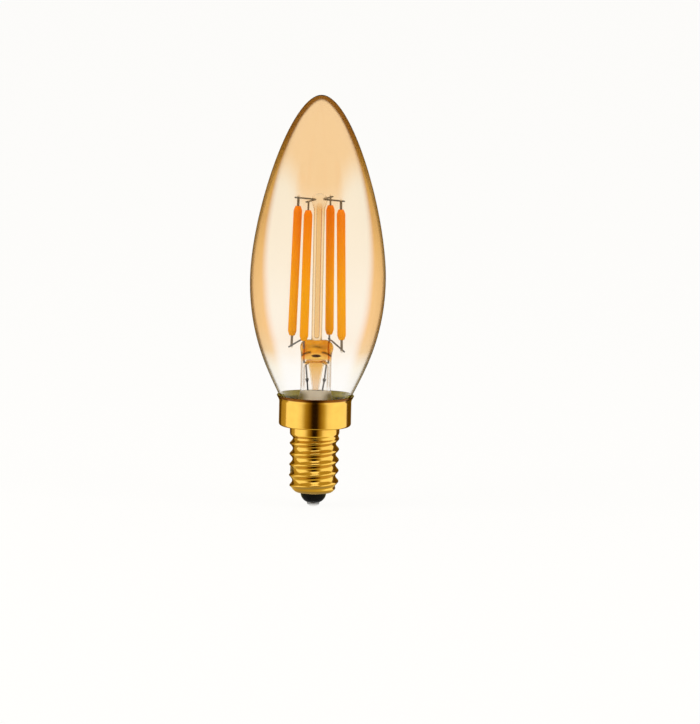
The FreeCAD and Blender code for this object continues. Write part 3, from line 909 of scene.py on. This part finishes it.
def makeFilament(number, coating, topMetal, footMetal):
    # Rod turned about its own leaning axis with soft tapered ends, and two flat end tabs.
    length, radius, end = filament["length"], filament["radius"], filament["endRadius"]
    run = filleted([
        (0, 0),
        (end, 0),
        (radius, filament["taper"]),
        (radius, length - filament["taper"]),
        (end, length),
        (0, length),
    ], filament["bends"], 7)
    run = refined(run, filament["spacing"])
    foot, outAxis, acrossAxis, alongAxis = filamentFrame(number)
    local = turned(run, filament["segments"])
    place = np.stack([outAxis, acrossAxis, alongAxis])
    label = str(number + 1)
    rod = gridMesh("filamentRod" + label, local @ place + foot, poles=(True, True))
    dress(rod, coating)
    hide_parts("led_filament_" + label)
    topEnd = length + wire["topHeight"] + tab["overhang"]
    footEnd = -wire["innerFootDrop" if number % 2 else "outerFootDrop"] - tab["overhang"]
    ends = [
        ("filamentTopTab", "filament_top_tab_", length - tab["embed"], topEnd, topMetal),
        ("filamentFootTab", "filament_foot_tab_", footEnd, tab["embed"], footMetal),
    ]
    for name, node, low, high, metal in ends:
        steps = np.concatenate([[low, low + 0.03, low + 0.1], np.linspace(low + 0.2, high - 0.2, 16),
                                [high - 0.1, high - 0.03, high]])
        path = foot + steps[:, None] * alongAxis
        nearEnd = np.minimum(steps - low, high - steps)
        halfWidth = np.where(nearEnd == 0, 0, tab["width"] / 2 * (0.9 + 0.1 * smoothStep(0, 0.2, nearEnd)))
        piece = gridMesh(name + label, flatStrip(path, halfWidth, tab["thickness"] / 2, outAxis, acrossAxis),
                         poles=(True, True))
        dress(piece, metal)
        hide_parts(node + label)


coating = phosphorMaterial()
weldTop = wireSpot(0, filament["length"] + wire["topHeight"], 1)[2]
weldFoot = wireSpot(0, -wire["outerFootDrop"], 1)[2]
topTabMetal = tabMaterial("topTabMetal", weldTop, 1)
footTabMetal = tabMaterial("footTabMetal", weldFoot, -1)
for number in range(filament["count"]):
    makeFilament(number, coating, topTabMetal, footTabMetal)
print("filaments done")


# Wires

leadLook = {
    "grey": (0.20, 0.20, 0.20),
    "coppery": (0.90, 0.46, 0.14),
    "reach": (3.5, 3.7),
    "footFade": (-0.2, 0.4),
    "topFade": (0.1, -0.5),
    "roughness": (0.20, 0.45),
}


def leadMaterial():
    # Grey wire, copper-clad where the press holds it: |x| and z inside the press
    material, tree, shader = newMaterial("leadWire")
    near, far = leadLook["reach"]
    across = stepped(tree, worked(tree, "ABSOLUTE", ownPlace(tree)[0]), far * mm, near * mm)
    upward = objectHeight(tree, *[level["ceiling"] + reach for reach in leadLook["footFade"]])
    downward = objectHeight(tree, *[level["pressTop"] + reach for reach in leadLook["topFade"]])
    share = worked(tree, "MULTIPLY", across, worked(tree, "MULTIPLY", upward, downward))
    coloured(tree, shader, share, leadLook["grey"], leadLook["coppery"])
    rangedTo(tree, grain(tree, 2.5, 4.0), shader.inputs["Roughness"], *leadLook["roughness"])
    shader.inputs["Metallic"].default_value = 1.0
    return material


def wireMesh(name, points, radius, bend, swell=()):
    # Round wire with softened ends; swell gives (path share, radius, half length) for weld knots.
    path = filleted(points, [bend] * (len(points) - 2), 8)
    lengths = np.linalg.norm(np.diff(path, axis=0), axis=1)
    along = np.concatenate([[0], np.cumsum(lengths)])
    total = along[-1]
    fine = np.unique(np.concatenate([
        [0, 0.1 * radius, 0.4 * radius, radius],
        np.arange(radius, total - radius, wire["spacing"]),
        [total - radius, total - 0.4 * radius, total - 0.1 * radius, total],
    ] + [np.linspace(share * total - 2 * half, share * total + 2 * half, 13) for share, _, half in swell]))
    fine = fine[(fine >= 0) & (fine <= total)]
    spots = np.stack([np.interp(fine, along, path[:, k]) for k in range(3)], axis=1)
    nearEnd = np.minimum(fine, total - fine)
    radii = radius * np.sqrt(np.clip(1 - (1 - np.minimum(nearEnd / radius, 1)) ** 2, 0, 1))
    for share, knot, half in swell:
        bump = np.exp(-((fine - share * total) / half) ** 2)
        radii = radii + (knot - radius) * bump
    return gridMesh(name, carried(spots, radii, wire["segments"], wire["side"]), poles=(True, True))


def makeWires():
    # Each side's four wires, as bent paths from weld to weld; the right side is the left turned half round.
    top = filament["length"] + wire["topHeight"]
    shoulder = np.array([-wire["leadSpacing"], 0, level["pressTop"] + wire["leadRise"]])
    knot = np.array([-wire["knotSpacing"], 0, level["knot"]])
    back = wire["boardSetback"] + wire["boardThickness"]
    metal = leadMaterial()
    for side, name in enumerate(("Left", "Right")):
        first, second = wireSpot(0, top, 1), wireSpot(1, top, -1)
        turn = radians(filament["turn"] + 180.0 / filament["count"])
        bendPoint = np.array([cos(turn), sin(turn), 0]) * wire["beadOffset"] + np.array([0, 0, first[2]])
        outerFoot = wireSpot(0, -wire["outerFootDrop"], 1)
        innerFoot = wireSpot(1, -wire["innerFootDrop"], -1)
        way = 2 * side - 1
        waist = np.array([*wire["waists"][side], level["knot"] - wire["waistDrop"]])
        pad = np.array([way * wire["padSpacing"], 0, level["boardTop"] - wire["padDrop"]])
        ahead = np.array([0, wire["boardSetback"] / 2, 0])
        ownKnot = halfTurned([knot], side)[0]
        outerPoints = [
            ownKnot,
            waist,
            pad + ahead + (0, 0, 2 * wire["padDrop"]),
            pad + ahead,
            pad + (0, back + wire["pinOverhang"], 0),
        ]
        routes = [
            ("supportWire", "support_wire_", wire["bend"],
             halfTurned([withTail(bendPoint, first), bendPoint, withTail(bendPoint, second)], side), ()),
            ("innerLead", "inner_lead_", wire["bend"],
             halfTurned([knot, shoulder, withTail(shoulder, outerFoot)], side), ()),
            ("footWire", "foot_wire_", wire["bend"],
             halfTurned([shoulder, withTail(shoulder, innerFoot)], side), (wire["weld"],)),
            ("outerLead", "outer_lead_", wire["pinBend"], outerPoints, (wire["knot"],)),
        ]
        for title, node, bend, points, swell in routes:
            piece = wireMesh(title + name, points, wire["radius"], bend, swell)
            dress(piece, metal)
            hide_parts(node + name.lower())


makeWires()
print("wires done")


# Cap: drawn sheet with a rolled thread
cap = {
    "sheet": 0.28,
    "bottomEdge": 3.05,
    "bottomFlat": 4.3,
    "bottomRise": 1.6,
    "bottomBend": 1.3,
    "barrelRadius": 5.875,
    "barrelBend": 0.4,
    "collarRadius": 8.55,
    "collarBend": 0.65,
    "lipFlare": 0.6,
    "lipHeight": 1.1,
    "lipBend": 1.2,
    "grooveDepth": 0.76,
    "pitch": 2.54,
    "crestHeight": 4.78,
    "crestTurn": 180.0,
    "grooveFlatness": 0.58,
    "crestRounding": 0.05,
    "threadFoot": (3.95, 5.1),
    "threadTop": (16.1, 17.7),
    "segments": 240,
    "spacing": 0.14,
}


def makeCap():
    # Turned sheet; between the thread's ends the radius drops by depth ((1 - cos(phase)) / 2) ^ flatness,
    # rounded at the crests, where the phase grows by one turn for each pitch in height and falls by one
    # for each turn round.
    outer = [
        (cap["bottomEdge"], level["shellFloor"]),
        (cap["bottomFlat"], level["shellFloor"]),
        (cap["barrelRadius"], level["shellFloor"] + cap["bottomRise"]),
        (cap["barrelRadius"], level["collarFloor"]),
        (cap["collarRadius"], level["collarFloor"]),
        (cap["collarRadius"], level["lipTop"] - cap["lipHeight"]),
        (cap["collarRadius"] + cap["lipFlare"], level["lipTop"]),
    ]
    bends = [cap["bottomBend"], cap["bottomBend"], cap["barrelBend"], cap["collarBend"], cap["lipBend"]]
    inner, innerBends = offsetCorners(outer, bends, cap["sheet"])
    outside = refined(filleted(outer, bends, 12), cap["spacing"])
    inside = refined(filleted(inner, innerBends, 12), 2 * cap["spacing"])[::-1]
    lip = (outside[-1] + inside[0]) / 2 + (0.02, 0.10)
    edge = (outside[0] + inside[-1]) / 2 + (-0.08, 0)
    run = np.vstack([outside, lip, inside, edge])
    grid = turned(run, cap["segments"])
    v = np.linspace(0, 2 * pi, cap["segments"], endpoint=False)
    height = run[:, 1][:, None] + 0 * v
    crest = cap["crestHeight"] + cap["pitch"] * (v - radians(cap["crestTurn"])) / (2 * pi)
    power, soft = cap["grooveFlatness"], cap["crestRounding"]
    wave = ((1 - np.cos(2 * pi * (height - crest) / cap["pitch"])) / 2 + soft) ** power - soft ** power
    wave /= (1 + soft) ** power - soft ** power
    fade = smoothStep(*cap["threadFoot"], height) * (1 - smoothStep(*cap["threadTop"], height))
    onBarrel = (run[:, 0] < cap["barrelRadius"] + 0.1)[:, None]
    drop = cap["grooveDepth"] * wave * fade * onBarrel
    factor = 1 - drop / np.maximum(run[:, 0][:, None], 1)
    grid[..., 0] *= factor
    grid[..., 1] *= factor
    piece = gridMesh("screwCap", grid, closedU=True)
    dress(piece, brassMaterial())
    row = np.arange(len(run) * cap["segments"]) // cap["segments"]
    lining = (row >= len(outside)) & (row < len(outside) + len(inside))
    addMaterial(piece, liningMaterial(), lining)
    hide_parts("cap_shell")


brassLook = {
    "colour": (1.000, 0.600, 0.110),
    "tarnish": (0.780, 0.400, 0.060),
    "tarnishStops": [(0.40, (0, 0, 0)), (0.75, (1, 1, 1))],
    "tarnishShare": 0.35,
    "roughness": (0.08, 0.19),
    "lipShade": (0.22, 0.070, 0.006),
    "lipShadeHeights": (25.75, 26.0),
    "lining": ((0.450, 0.375, 0.030), (0.600, 0.500, 0.040)),
    "liningRoughness": (0.40, 0.60),
}


def brassMaterial():
    # Polished lacquered brass: faint drawing lines round the axis and thin tarnish.
    material, tree, shader = newMaterial("capBrass")
    drawing = grain(tree, 3.0, 3.0, (0.15, 0.15, 3.0))
    patches = grain(tree, 0.35, 5.0)
    tarnished = ramped(tree, patches, brassLook["tarnishStops"])
    share = worked(tree, "MULTIPLY", tarnished, brassLook["tarnishShare"])
    metal = colourMix(tree, share, brassLook["colour"], brassLook["tarnish"])
    # Painted shade: the flared lip's outside darkened, standing in for its dark reflection.
    lip = objectHeight(tree, *brassLook["lipShadeHeights"])
    coloured(tree, shader, lip, metal, brassLook["lipShade"])
    rangedTo(tree, drawing, shader.inputs["Roughness"], *brassLook["roughness"])
    shader.inputs["Metallic"].default_value = 1.0
    bumped(tree, shader, drawing, 0.25, 0.01)
    return material


def liningMaterial():
    # The sheet's unpolished inner side
    material, tree, shader = newMaterial("capLining")
    patches = grain(tree, 0.8, 4.0)
    coloured(tree, shader, patches, *brassLook["lining"])
    rangedTo(tree, patches, shader.inputs["Roughness"], *brassLook["liningRoughness"])
    shader.inputs["Metallic"].default_value = 1.0
    return material


makeCap()
print("cap done")


# Insulator and centre contact
button = {
    "radius": 3.05,
    "bulge": 0.45,
    "studRadius": 0.85,
    "contactFlat": 0.65,
    "contactRadius": 1.5,
    "contactHeight": 0.95,
    "segments": 128,
    "contactSegments": 96,
    "spacing": 0.6,
    "studSpacing": 0.8,
    "glass": ((0.002, 0.002, 0.002), (0.008, 0.0075, 0.0065)),
    "glassRoughness": (0.10, 0.22),
    "glassSpecular": 0.08,
    "tin": ((0.7052, 0.697, 0.6806), (0.86, 0.85, 0.83)),
    "tinRoughness": (0.182, 0.364),
}


def insulatorMaterial():
    # Vitrified black glass: glossy, with soft flow ripples.
    material, tree, shader = newMaterial("blackGlass")
    patches = grain(tree, 0.8, 4.0)
    coloured(tree, shader, patches, *button["glass"])
    rangedTo(tree, patches, shader.inputs["Roughness"], *button["glassRoughness"])
    shader.inputs["Specular IOR Level"].default_value = button["glassSpecular"]
    bumped(tree, shader, grain(tree, 0.9, 2.0), 0.4, 0.06)
    return material


def contactMaterial():
    # Tinned metal, darker and rougher in patches
    material, tree, shader = newMaterial("tinnedContact")
    patches = grain(tree, 1.2, 4.0)
    coloured(tree, shader, patches, *button["tin"])
    rangedTo(tree, patches, shader.inputs["Roughness"], *button["tinRoughness"])
    shader.inputs["Metallic"].default_value = 1.0
    bumped(tree, shader, grain(tree, 4.8, 2.0), 0.35, 0.02)
    return material


def arcThrough(start, end, bulge, steps):
    # Arc from start to end whose middle stands off the chord to its left by the bulge.
    start, end = np.array(start), np.array(end)
    chord = np.linalg.norm(end - start)
    radius = (chord ** 2 / 4 + bulge ** 2) / (2 * bulge)
    half = np.arcsin(min(chord / (2 * radius), 1))
    way = (end - start) / chord
    left = np.array([-way[1], way[0]])
    centre = (start + end) / 2 + left * (bulge - radius)
    spread = np.linspace(-half, half, steps)[:, None]
    return centre + radius * (np.sin(spread) * way + np.cos(spread) * left)


def makeInsulator():
    # Turned: the dome from the contact to the cap's edge, the filling inside the cap, and the stud's hole.
    outer = [
        (cap["bottomEdge"], level["shellFloor"]),
        (cap["bottomFlat"], level["shellFloor"]),
        (cap["barrelRadius"], level["shellFloor"] + cap["bottomRise"]),
        (cap["barrelRadius"], level["boardFoot"]),
    ]
    inner, innerBends = offsetCorners(outer, [cap["bottomBend"]] * 2, cap["sheet"] + 2 * sliver)
    inner[2:, 0] -= cap["grooveDepth"]
    foot = (button["contactRadius"], button["contactHeight"])
    rim = (button["radius"], level["shellFloor"] - 0.005)
    dome = arcThrough(rim, foot, button["bulge"], 24)[::-1]
    bowl = refined(filleted(inner, innerBends, 8), button["spacing"])
    stud = [(button["studRadius"], level["boardFoot"]), (button["studRadius"], button["contactHeight"])]
    run = np.vstack([dome, bowl, stud])
    piece = gridMesh("blackInsulator", turned(run, button["segments"]), closedU=True)
    dress(piece, insulatorMaterial())
    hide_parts("insulator")


def makeContact():
    # Domed button with a flat worn by its seat, and the stud up through the insulator.
    dome = arcThrough((button["contactFlat"], 0), (button["contactRadius"], button["contactHeight"]),
                      -button["contactHeight"] / 4, 20)
    stud = [
        (button["studRadius"] - sliver, button["contactHeight"]),
        (button["studRadius"] - sliver, level["boardFoot"] - 0.1),
        (0, level["boardFoot"] - 0.1),
    ]
    run = np.vstack([[(0, 0)], dome, refined(np.array(stud), button["studSpacing"])])
    piece = gridMesh("centreContact", turned(run, button["contactSegments"]), poles=(True, True))
    dress(piece, contactMaterial())
    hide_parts("centre_contact")


makeInsulator()
makeContact()
print("insulator and contact done")


# Driver and the other hidden parts keep their CAD shapes

def plainMaterial(name, colour, second, roughness, scale, bump=0.03, metallic=0.0):
    # Two shades mixed by a grain, with matching roughness and bump.
    material, tree, shader = newMaterial(name)
    patches = grain(tree, scale, 4.0)
    coloured(tree, shader, patches, colour, second)
    rangedTo(tree, patches, shader.inputs["Roughness"], roughness * 0.8, min(roughness * 1.2, 1))
    shader.inputs["Metallic"].default_value = metallic
    bumped(tree, shader, grain(tree, scale * 3, 3.0), 0.5, bump)
    return material


hiddenLooks = {
    "basing_cement": ("basingCement", (0.62, 0.52, 0.36), (0.74, 0.64, 0.46), 0.9, 1.5, 0.12, 0.0),
    "driver_board": ("driverBoard", (0.02, 0.17, 0.06), (0.03, 0.24, 0.09), 0.45, 2.0, 0.02, 0.0),
    "driver_chip": ("moulding", (0.020, 0.020, 0.022), (0.035, 0.035, 0.036), 0.55, 4.0, 0.02, 0.0),
    "capacitor": ("capacitorBody", (0.52, 0.33, 0.16), (0.62, 0.42, 0.22), 0.5, 2.0, 0.02, 0.0),
    "fusible_resistor": ("resistorCoat", (0.20, 0.35, 0.40), (0.26, 0.42, 0.46), 0.4, 2.0, 0.03, 0.0),
    "resistor_lead": ("tinnedWire", (0.62, 0.61, 0.58), (0.78, 0.77, 0.74), 0.3, 3.0, 0.01, 1.0),
    "shell_solder": ("solderJoint", (0.52, 0.52, 0.50), (0.70, 0.70, 0.68), 0.35, 1.5, 0.05, 1.0),
}
sharedLooks = {
    "bridge_rectifier": "driver_chip",
    "contact_wire": "resistor_lead",
    "shell_wire": "resistor_lead",
    "board_solder": "shell_solder",
}
hiddenMaterials = {node: plainMaterial(*look) for node, look in hiddenLooks.items()}
for node, same in sharedLooks.items():
    hiddenMaterials[node] = hiddenMaterials[same]
for node, material in hiddenMaterials.items():
    cadObject = nodes[node]
    cadObject.data.materials.clear()
    cadObject.data.materials.append(material)
print("driver dressed")


# Studio: floor, light tent for the reflections, two soft lamps, white surroundings
studio = {
    "white": (0.991, 0.983, 0.965),
    "floorDrop": 0.05,
    "floorSize": 40000.0,
    "floorGlow": 0.95,
    "floorPaint": (0.94, 0.93, 0.915),
    "worldForDiffuse": 0.75,
    "worldInside": 0.70,
    "tentRun": [(1.7, -0.03), (60.0, -0.03), (420.0, -0.03), (420.0, 520.0), (1.0, 520.0)],
    "tentSpacing": 80.0,
    "tentSegments": 96,
    "tentNear": (13.0, 20.0),
    "tentNearStops": [(0, 0.42), (4, 0.30), (9, 0.50), (13, 0.62), (20, 0.62)],  # radius in mm, brightness; dimmer near the bulb, a painted shadow of the floor as reflections see it
    "tentNeutral": 5.0,  # mm within which the floor is grey, not warm
    "tentRoof": 0.44,
    "tentRoofGlow": 1.2,
    "tentForGlass": 0.18,
    "tentTwice": (0.50, 0.58, 0.90),
    "tentLift": (350.0, 430.0),
    "tentFront": (38.0, 22.0),
    "lamps": [  # name, place in mm, power
        ("softLeft", (-520, -260, 260), 3.6),
        ("softRight", (520, -300, 220), 2.9),
    ],
    "lampSize": (0.45, 0.6),
    "lampAim": (0, 0, 55),
    "tentStops": [  # degrees from the lens, left negative; brightness
        (-180, 0.35), (-150, 0.12), (-137, 0.05), (-134, 0.40), (-105, 0.48), (-102, 1.10),
        (-60, 1.15), (-44, 0.95), (-30, 0.42), (-18, 0.20), (-10, 0.05), (-7.5, 0.014),
        (7.5, 0.014), (10, 0.06), (18, 0.24), (30, 0.50), (41, 0.98), (60, 1.15),
        (117, 1.12), (120, 0.14), (135, 0.10), (150, 0.12), (180, 0.35),
    ],
}


def pureGlow(name):
    # A material that only shines
    material = bpy.data.materials.new(name)
    material.use_nodes = True
    tree = material.node_tree
    tree.nodes.clear()
    output = tree.nodes.new("ShaderNodeOutputMaterial")
    glow = tree.nodes.new("ShaderNodeEmission")
    tree.links.new(glow.outputs[0], output.inputs["Surface"])
    return material, tree, glow, output


def lookRays(tree):
    # 1 for camera, glossy and transmission rays, 0 for the others.
    rays = addNode(tree, "LightPath").outputs
    seen = worked(tree, "MAXIMUM", rays["Is Camera Ray"], rays["Is Glossy Ray"])
    return worked(tree, "MAXIMUM", seen, rays["Is Transmission Ray"])


def makeFloor():
    # Pale floor: seen, it glows towards white and keeps the shadow; as a reflector it is plain.
    half = studio["floorSize"] / 2
    drop = -studio["floorDrop"]
    corners = np.array([(-half, -half, drop), (half, -half, drop), (half, half, drop), (-half, half, drop)])
    floor = plainMesh("paleFloor", corners, [(0, 1, 2, 3)])
    material, tree, glow, output = pureGlow("paleFloor")
    glow.inputs["Color"].default_value = (*studio["white"], 1)
    paint = addNode(tree, "BsdfDiffuse", {"Color": (*studio["floorPaint"], 1)})
    mix = addNode(tree, "MixShader")
    tree.links.new(worked(tree, "MULTIPLY", lookRays(tree), studio["floorGlow"]), mix.inputs[0])
    tree.links.new(paint.outputs[0], mix.inputs[1])
    tree.links.new(glow.outputs[0], mix.inputs[2])
    tree.links.new(mix.outputs[0], output.inputs["Surface"])
    floor.data.materials.append(material)


def warmGrey(bright):
    # Dim light is warmer: green and blue fall off faster than red.
    return (bright, bright * min(0.45 + 0.75 * bright, 1), bright * min(1.1 * bright ** 2, 1))


def tentColour(tree):
    # By the angle round the axis, 0 at the lens and positive to the right, and by the radius near the bulb;
    # the roof is lit in front, and a ray that has already met metal sees it all dimmer and bluer.
    x, y, z = ownPlace(tree)
    angle = worked(tree, "ARCTAN2", x, worked(tree, "MULTIPLY", y, -1.0))
    share = addNode(tree, "MapRange", {"From Min": -pi, "From Max": pi})
    tree.links.new(angle, share.inputs["Value"])
    wall = ramped(tree, share.outputs["Result"],
                  [(0.5 + degrees / 360, warmGrey(bright)) for degrees, bright in studio["tentStops"]])
    wide, near = studio["tentFront"]
    front = stepped(tree, worked(tree, "ABSOLUTE", angle), radians(wide), radians(near))
    roof = colourMix(tree, front, warmGrey(studio["tentRoof"]), (studio["tentRoofGlow"],) * 3)
    low, high = studio["tentLift"]
    lit = colourMix(tree, stepped(tree, z, low * mm, high * mm), wall, roof)
    flat = addNode(tree, "CombineXYZ")
    tree.links.new(x, flat.inputs["X"])
    tree.links.new(y, flat.inputs["Y"])
    reach = addNode(tree, "VectorMath", operation="LENGTH")
    tree.links.new(flat.outputs[0], reach.inputs[0])
    radius = reach.outputs["Value"]
    near, far = studio["tentNear"]
    inner = addNode(tree, "MapRange", {"From Max": far * mm})
    tree.links.new(radius, inner.inputs["Value"])
    ring = ramped(tree, inner.outputs["Result"],
                  [(spot / far, warmGrey(bright) if spot > studio["tentNeutral"] else (bright,) * 3)
                   for spot, bright in studio["tentNearStops"]])
    once = colourMix(tree, stepped(tree, radius, near * mm, far * mm), ring, lit)
    depth = addNode(tree, "LightPath").outputs["Glossy Depth"]
    again = worked(tree, "SUBTRACT", worked(tree, "MINIMUM", depth, 2.0), 1.0)
    again = worked(tree, "MAXIMUM", again, 0.0)
    return colourMix(tree, again, once, studio["tentTwice"], "MULTIPLY")


def makeTent():
    # Turned surface that only reflections see: bright panels left and right, dark behind and at the lens.
    grid = turned(refined(np.array(studio["tentRun"]), studio["tentSpacing"]), studio["tentSegments"])
    rows, columns = grid.shape[:2]
    index = np.arange(rows * columns).reshape(rows, columns)
    quads = np.stack([index[:-1], index[1:], np.roll(index[1:], -1, 1), np.roll(index[:-1], -1, 1)], axis=-1)
    tent = plainMesh("lightTent", grid.reshape(-1, 3), quads.reshape(-1, 4).tolist())
    material, tree, glow, output = pureGlow("lightTent")
    tree.links.new(tentColour(tree), glow.inputs["Color"])
    singular = addNode(tree, "LightPath").outputs["Is Singular Ray"]
    rangedTo(tree, singular, glow.inputs["Strength"], 1.0, studio["tentForGlass"])
    tent.data.materials.append(material)
    for kind in ("camera", "diffuse", "transmission", "volume_scatter", "shadow"):
        setattr(tent, "visible_" + kind, False)


def makeLamp(name, place, power):
    # Soft rectangle that faces the bulb's middle
    data = bpy.data.lights.new(name, "AREA")
    data.shape = "RECTANGLE"
    data.size, data.size_y = studio["lampSize"]
    data.energy = power
    lamp = bpy.data.objects.new(name, data)
    bpy.context.scene.collection.objects.link(lamp)
    lamp.location = Vector(place) * mm
    aim = Vector(studio["lampAim"]) * mm - lamp.location
    lamp.rotation_euler = aim.to_track_quat("-Z", "Y").to_euler()
    lamp.visible_camera = False
    lamp.visible_glossy = False
    lamp.visible_transmission = False


def makeWorld():
    # White surroundings; what the envelope keeps of the lamps' light comes to the parts in it from here.
    world = bpy.data.worlds.new("softStudio")
    bpy.context.scene.world = world
    world.use_nodes = True
    tree = world.node_tree
    tree.nodes.clear()
    output = tree.nodes.new("ShaderNodeOutputWorld")
    background = tree.nodes.new("ShaderNodeBackground")
    background.inputs["Color"].default_value = (*studio["white"], 1)
    strength = addNode(tree, "MapRange", {"To Min": studio["worldForDiffuse"], "To Max": 1.0})
    tree.links.new(lookRays(tree), strength.inputs["Value"])
    rays = addNode(tree, "LightPath")
    behindGlass = worked(tree, "MULTIPLY", worked(tree, "MINIMUM", rays.outputs["Diffuse Depth"], 1.0),
                         worked(tree, "MINIMUM", rays.outputs["Transmission Depth"], 1.0))
    lampShare = worked(tree, "MULTIPLY", behindGlass, studio["worldInside"])
    tree.links.new(worked(tree, "ADD", strength.outputs["Result"], lampShare), background.inputs["Strength"])
    tree.links.new(background.outputs[0], output.inputs["Surface"])


makeFloor()
makeTent()
for lamp in studio["lamps"]:
    makeLamp(*lamp)
makeWorld()
print("studio done")


# Camera at the photograph's angle
camera = {
    "elevation": 8.0,
    "roll": 1.25,
    "distance": 3000.0,
    "frameHeight": 171.2,
    "sensor": 36.0,
    "aim": (8.0, 0.0, 34.57),
}


def makeCamera():
    # A long lens, so near parallel, tilted down and rolled about its own axis
    data = bpy.data.cameras.new("camera")
    data.sensor_width = camera["sensor"]
    data.lens = camera["sensor"] * camera["distance"] / camera["frameHeight"]
    data.clip_start = 0.01
    data.clip_end = 50
    eye = bpy.data.objects.new("camera", data)
    bpy.context.scene.collection.objects.link(eye)
    tilt = radians(camera["elevation"])
    away = Vector((0, -cos(tilt), sin(tilt))) * camera["distance"]
    turn = Matrix.Rotation(pi / 2 - tilt, 4, "X") @ Matrix.Rotation(radians(camera["roll"]), 4, "Z")
    eye.matrix_world = Matrix.Translation((Vector(camera["aim"]) + away) * mm) @ turn
    bpy.context.scene.camera = eye


makeCamera()
bpy.context.scene.view_settings.view_transform = "Standard"

print("ready")
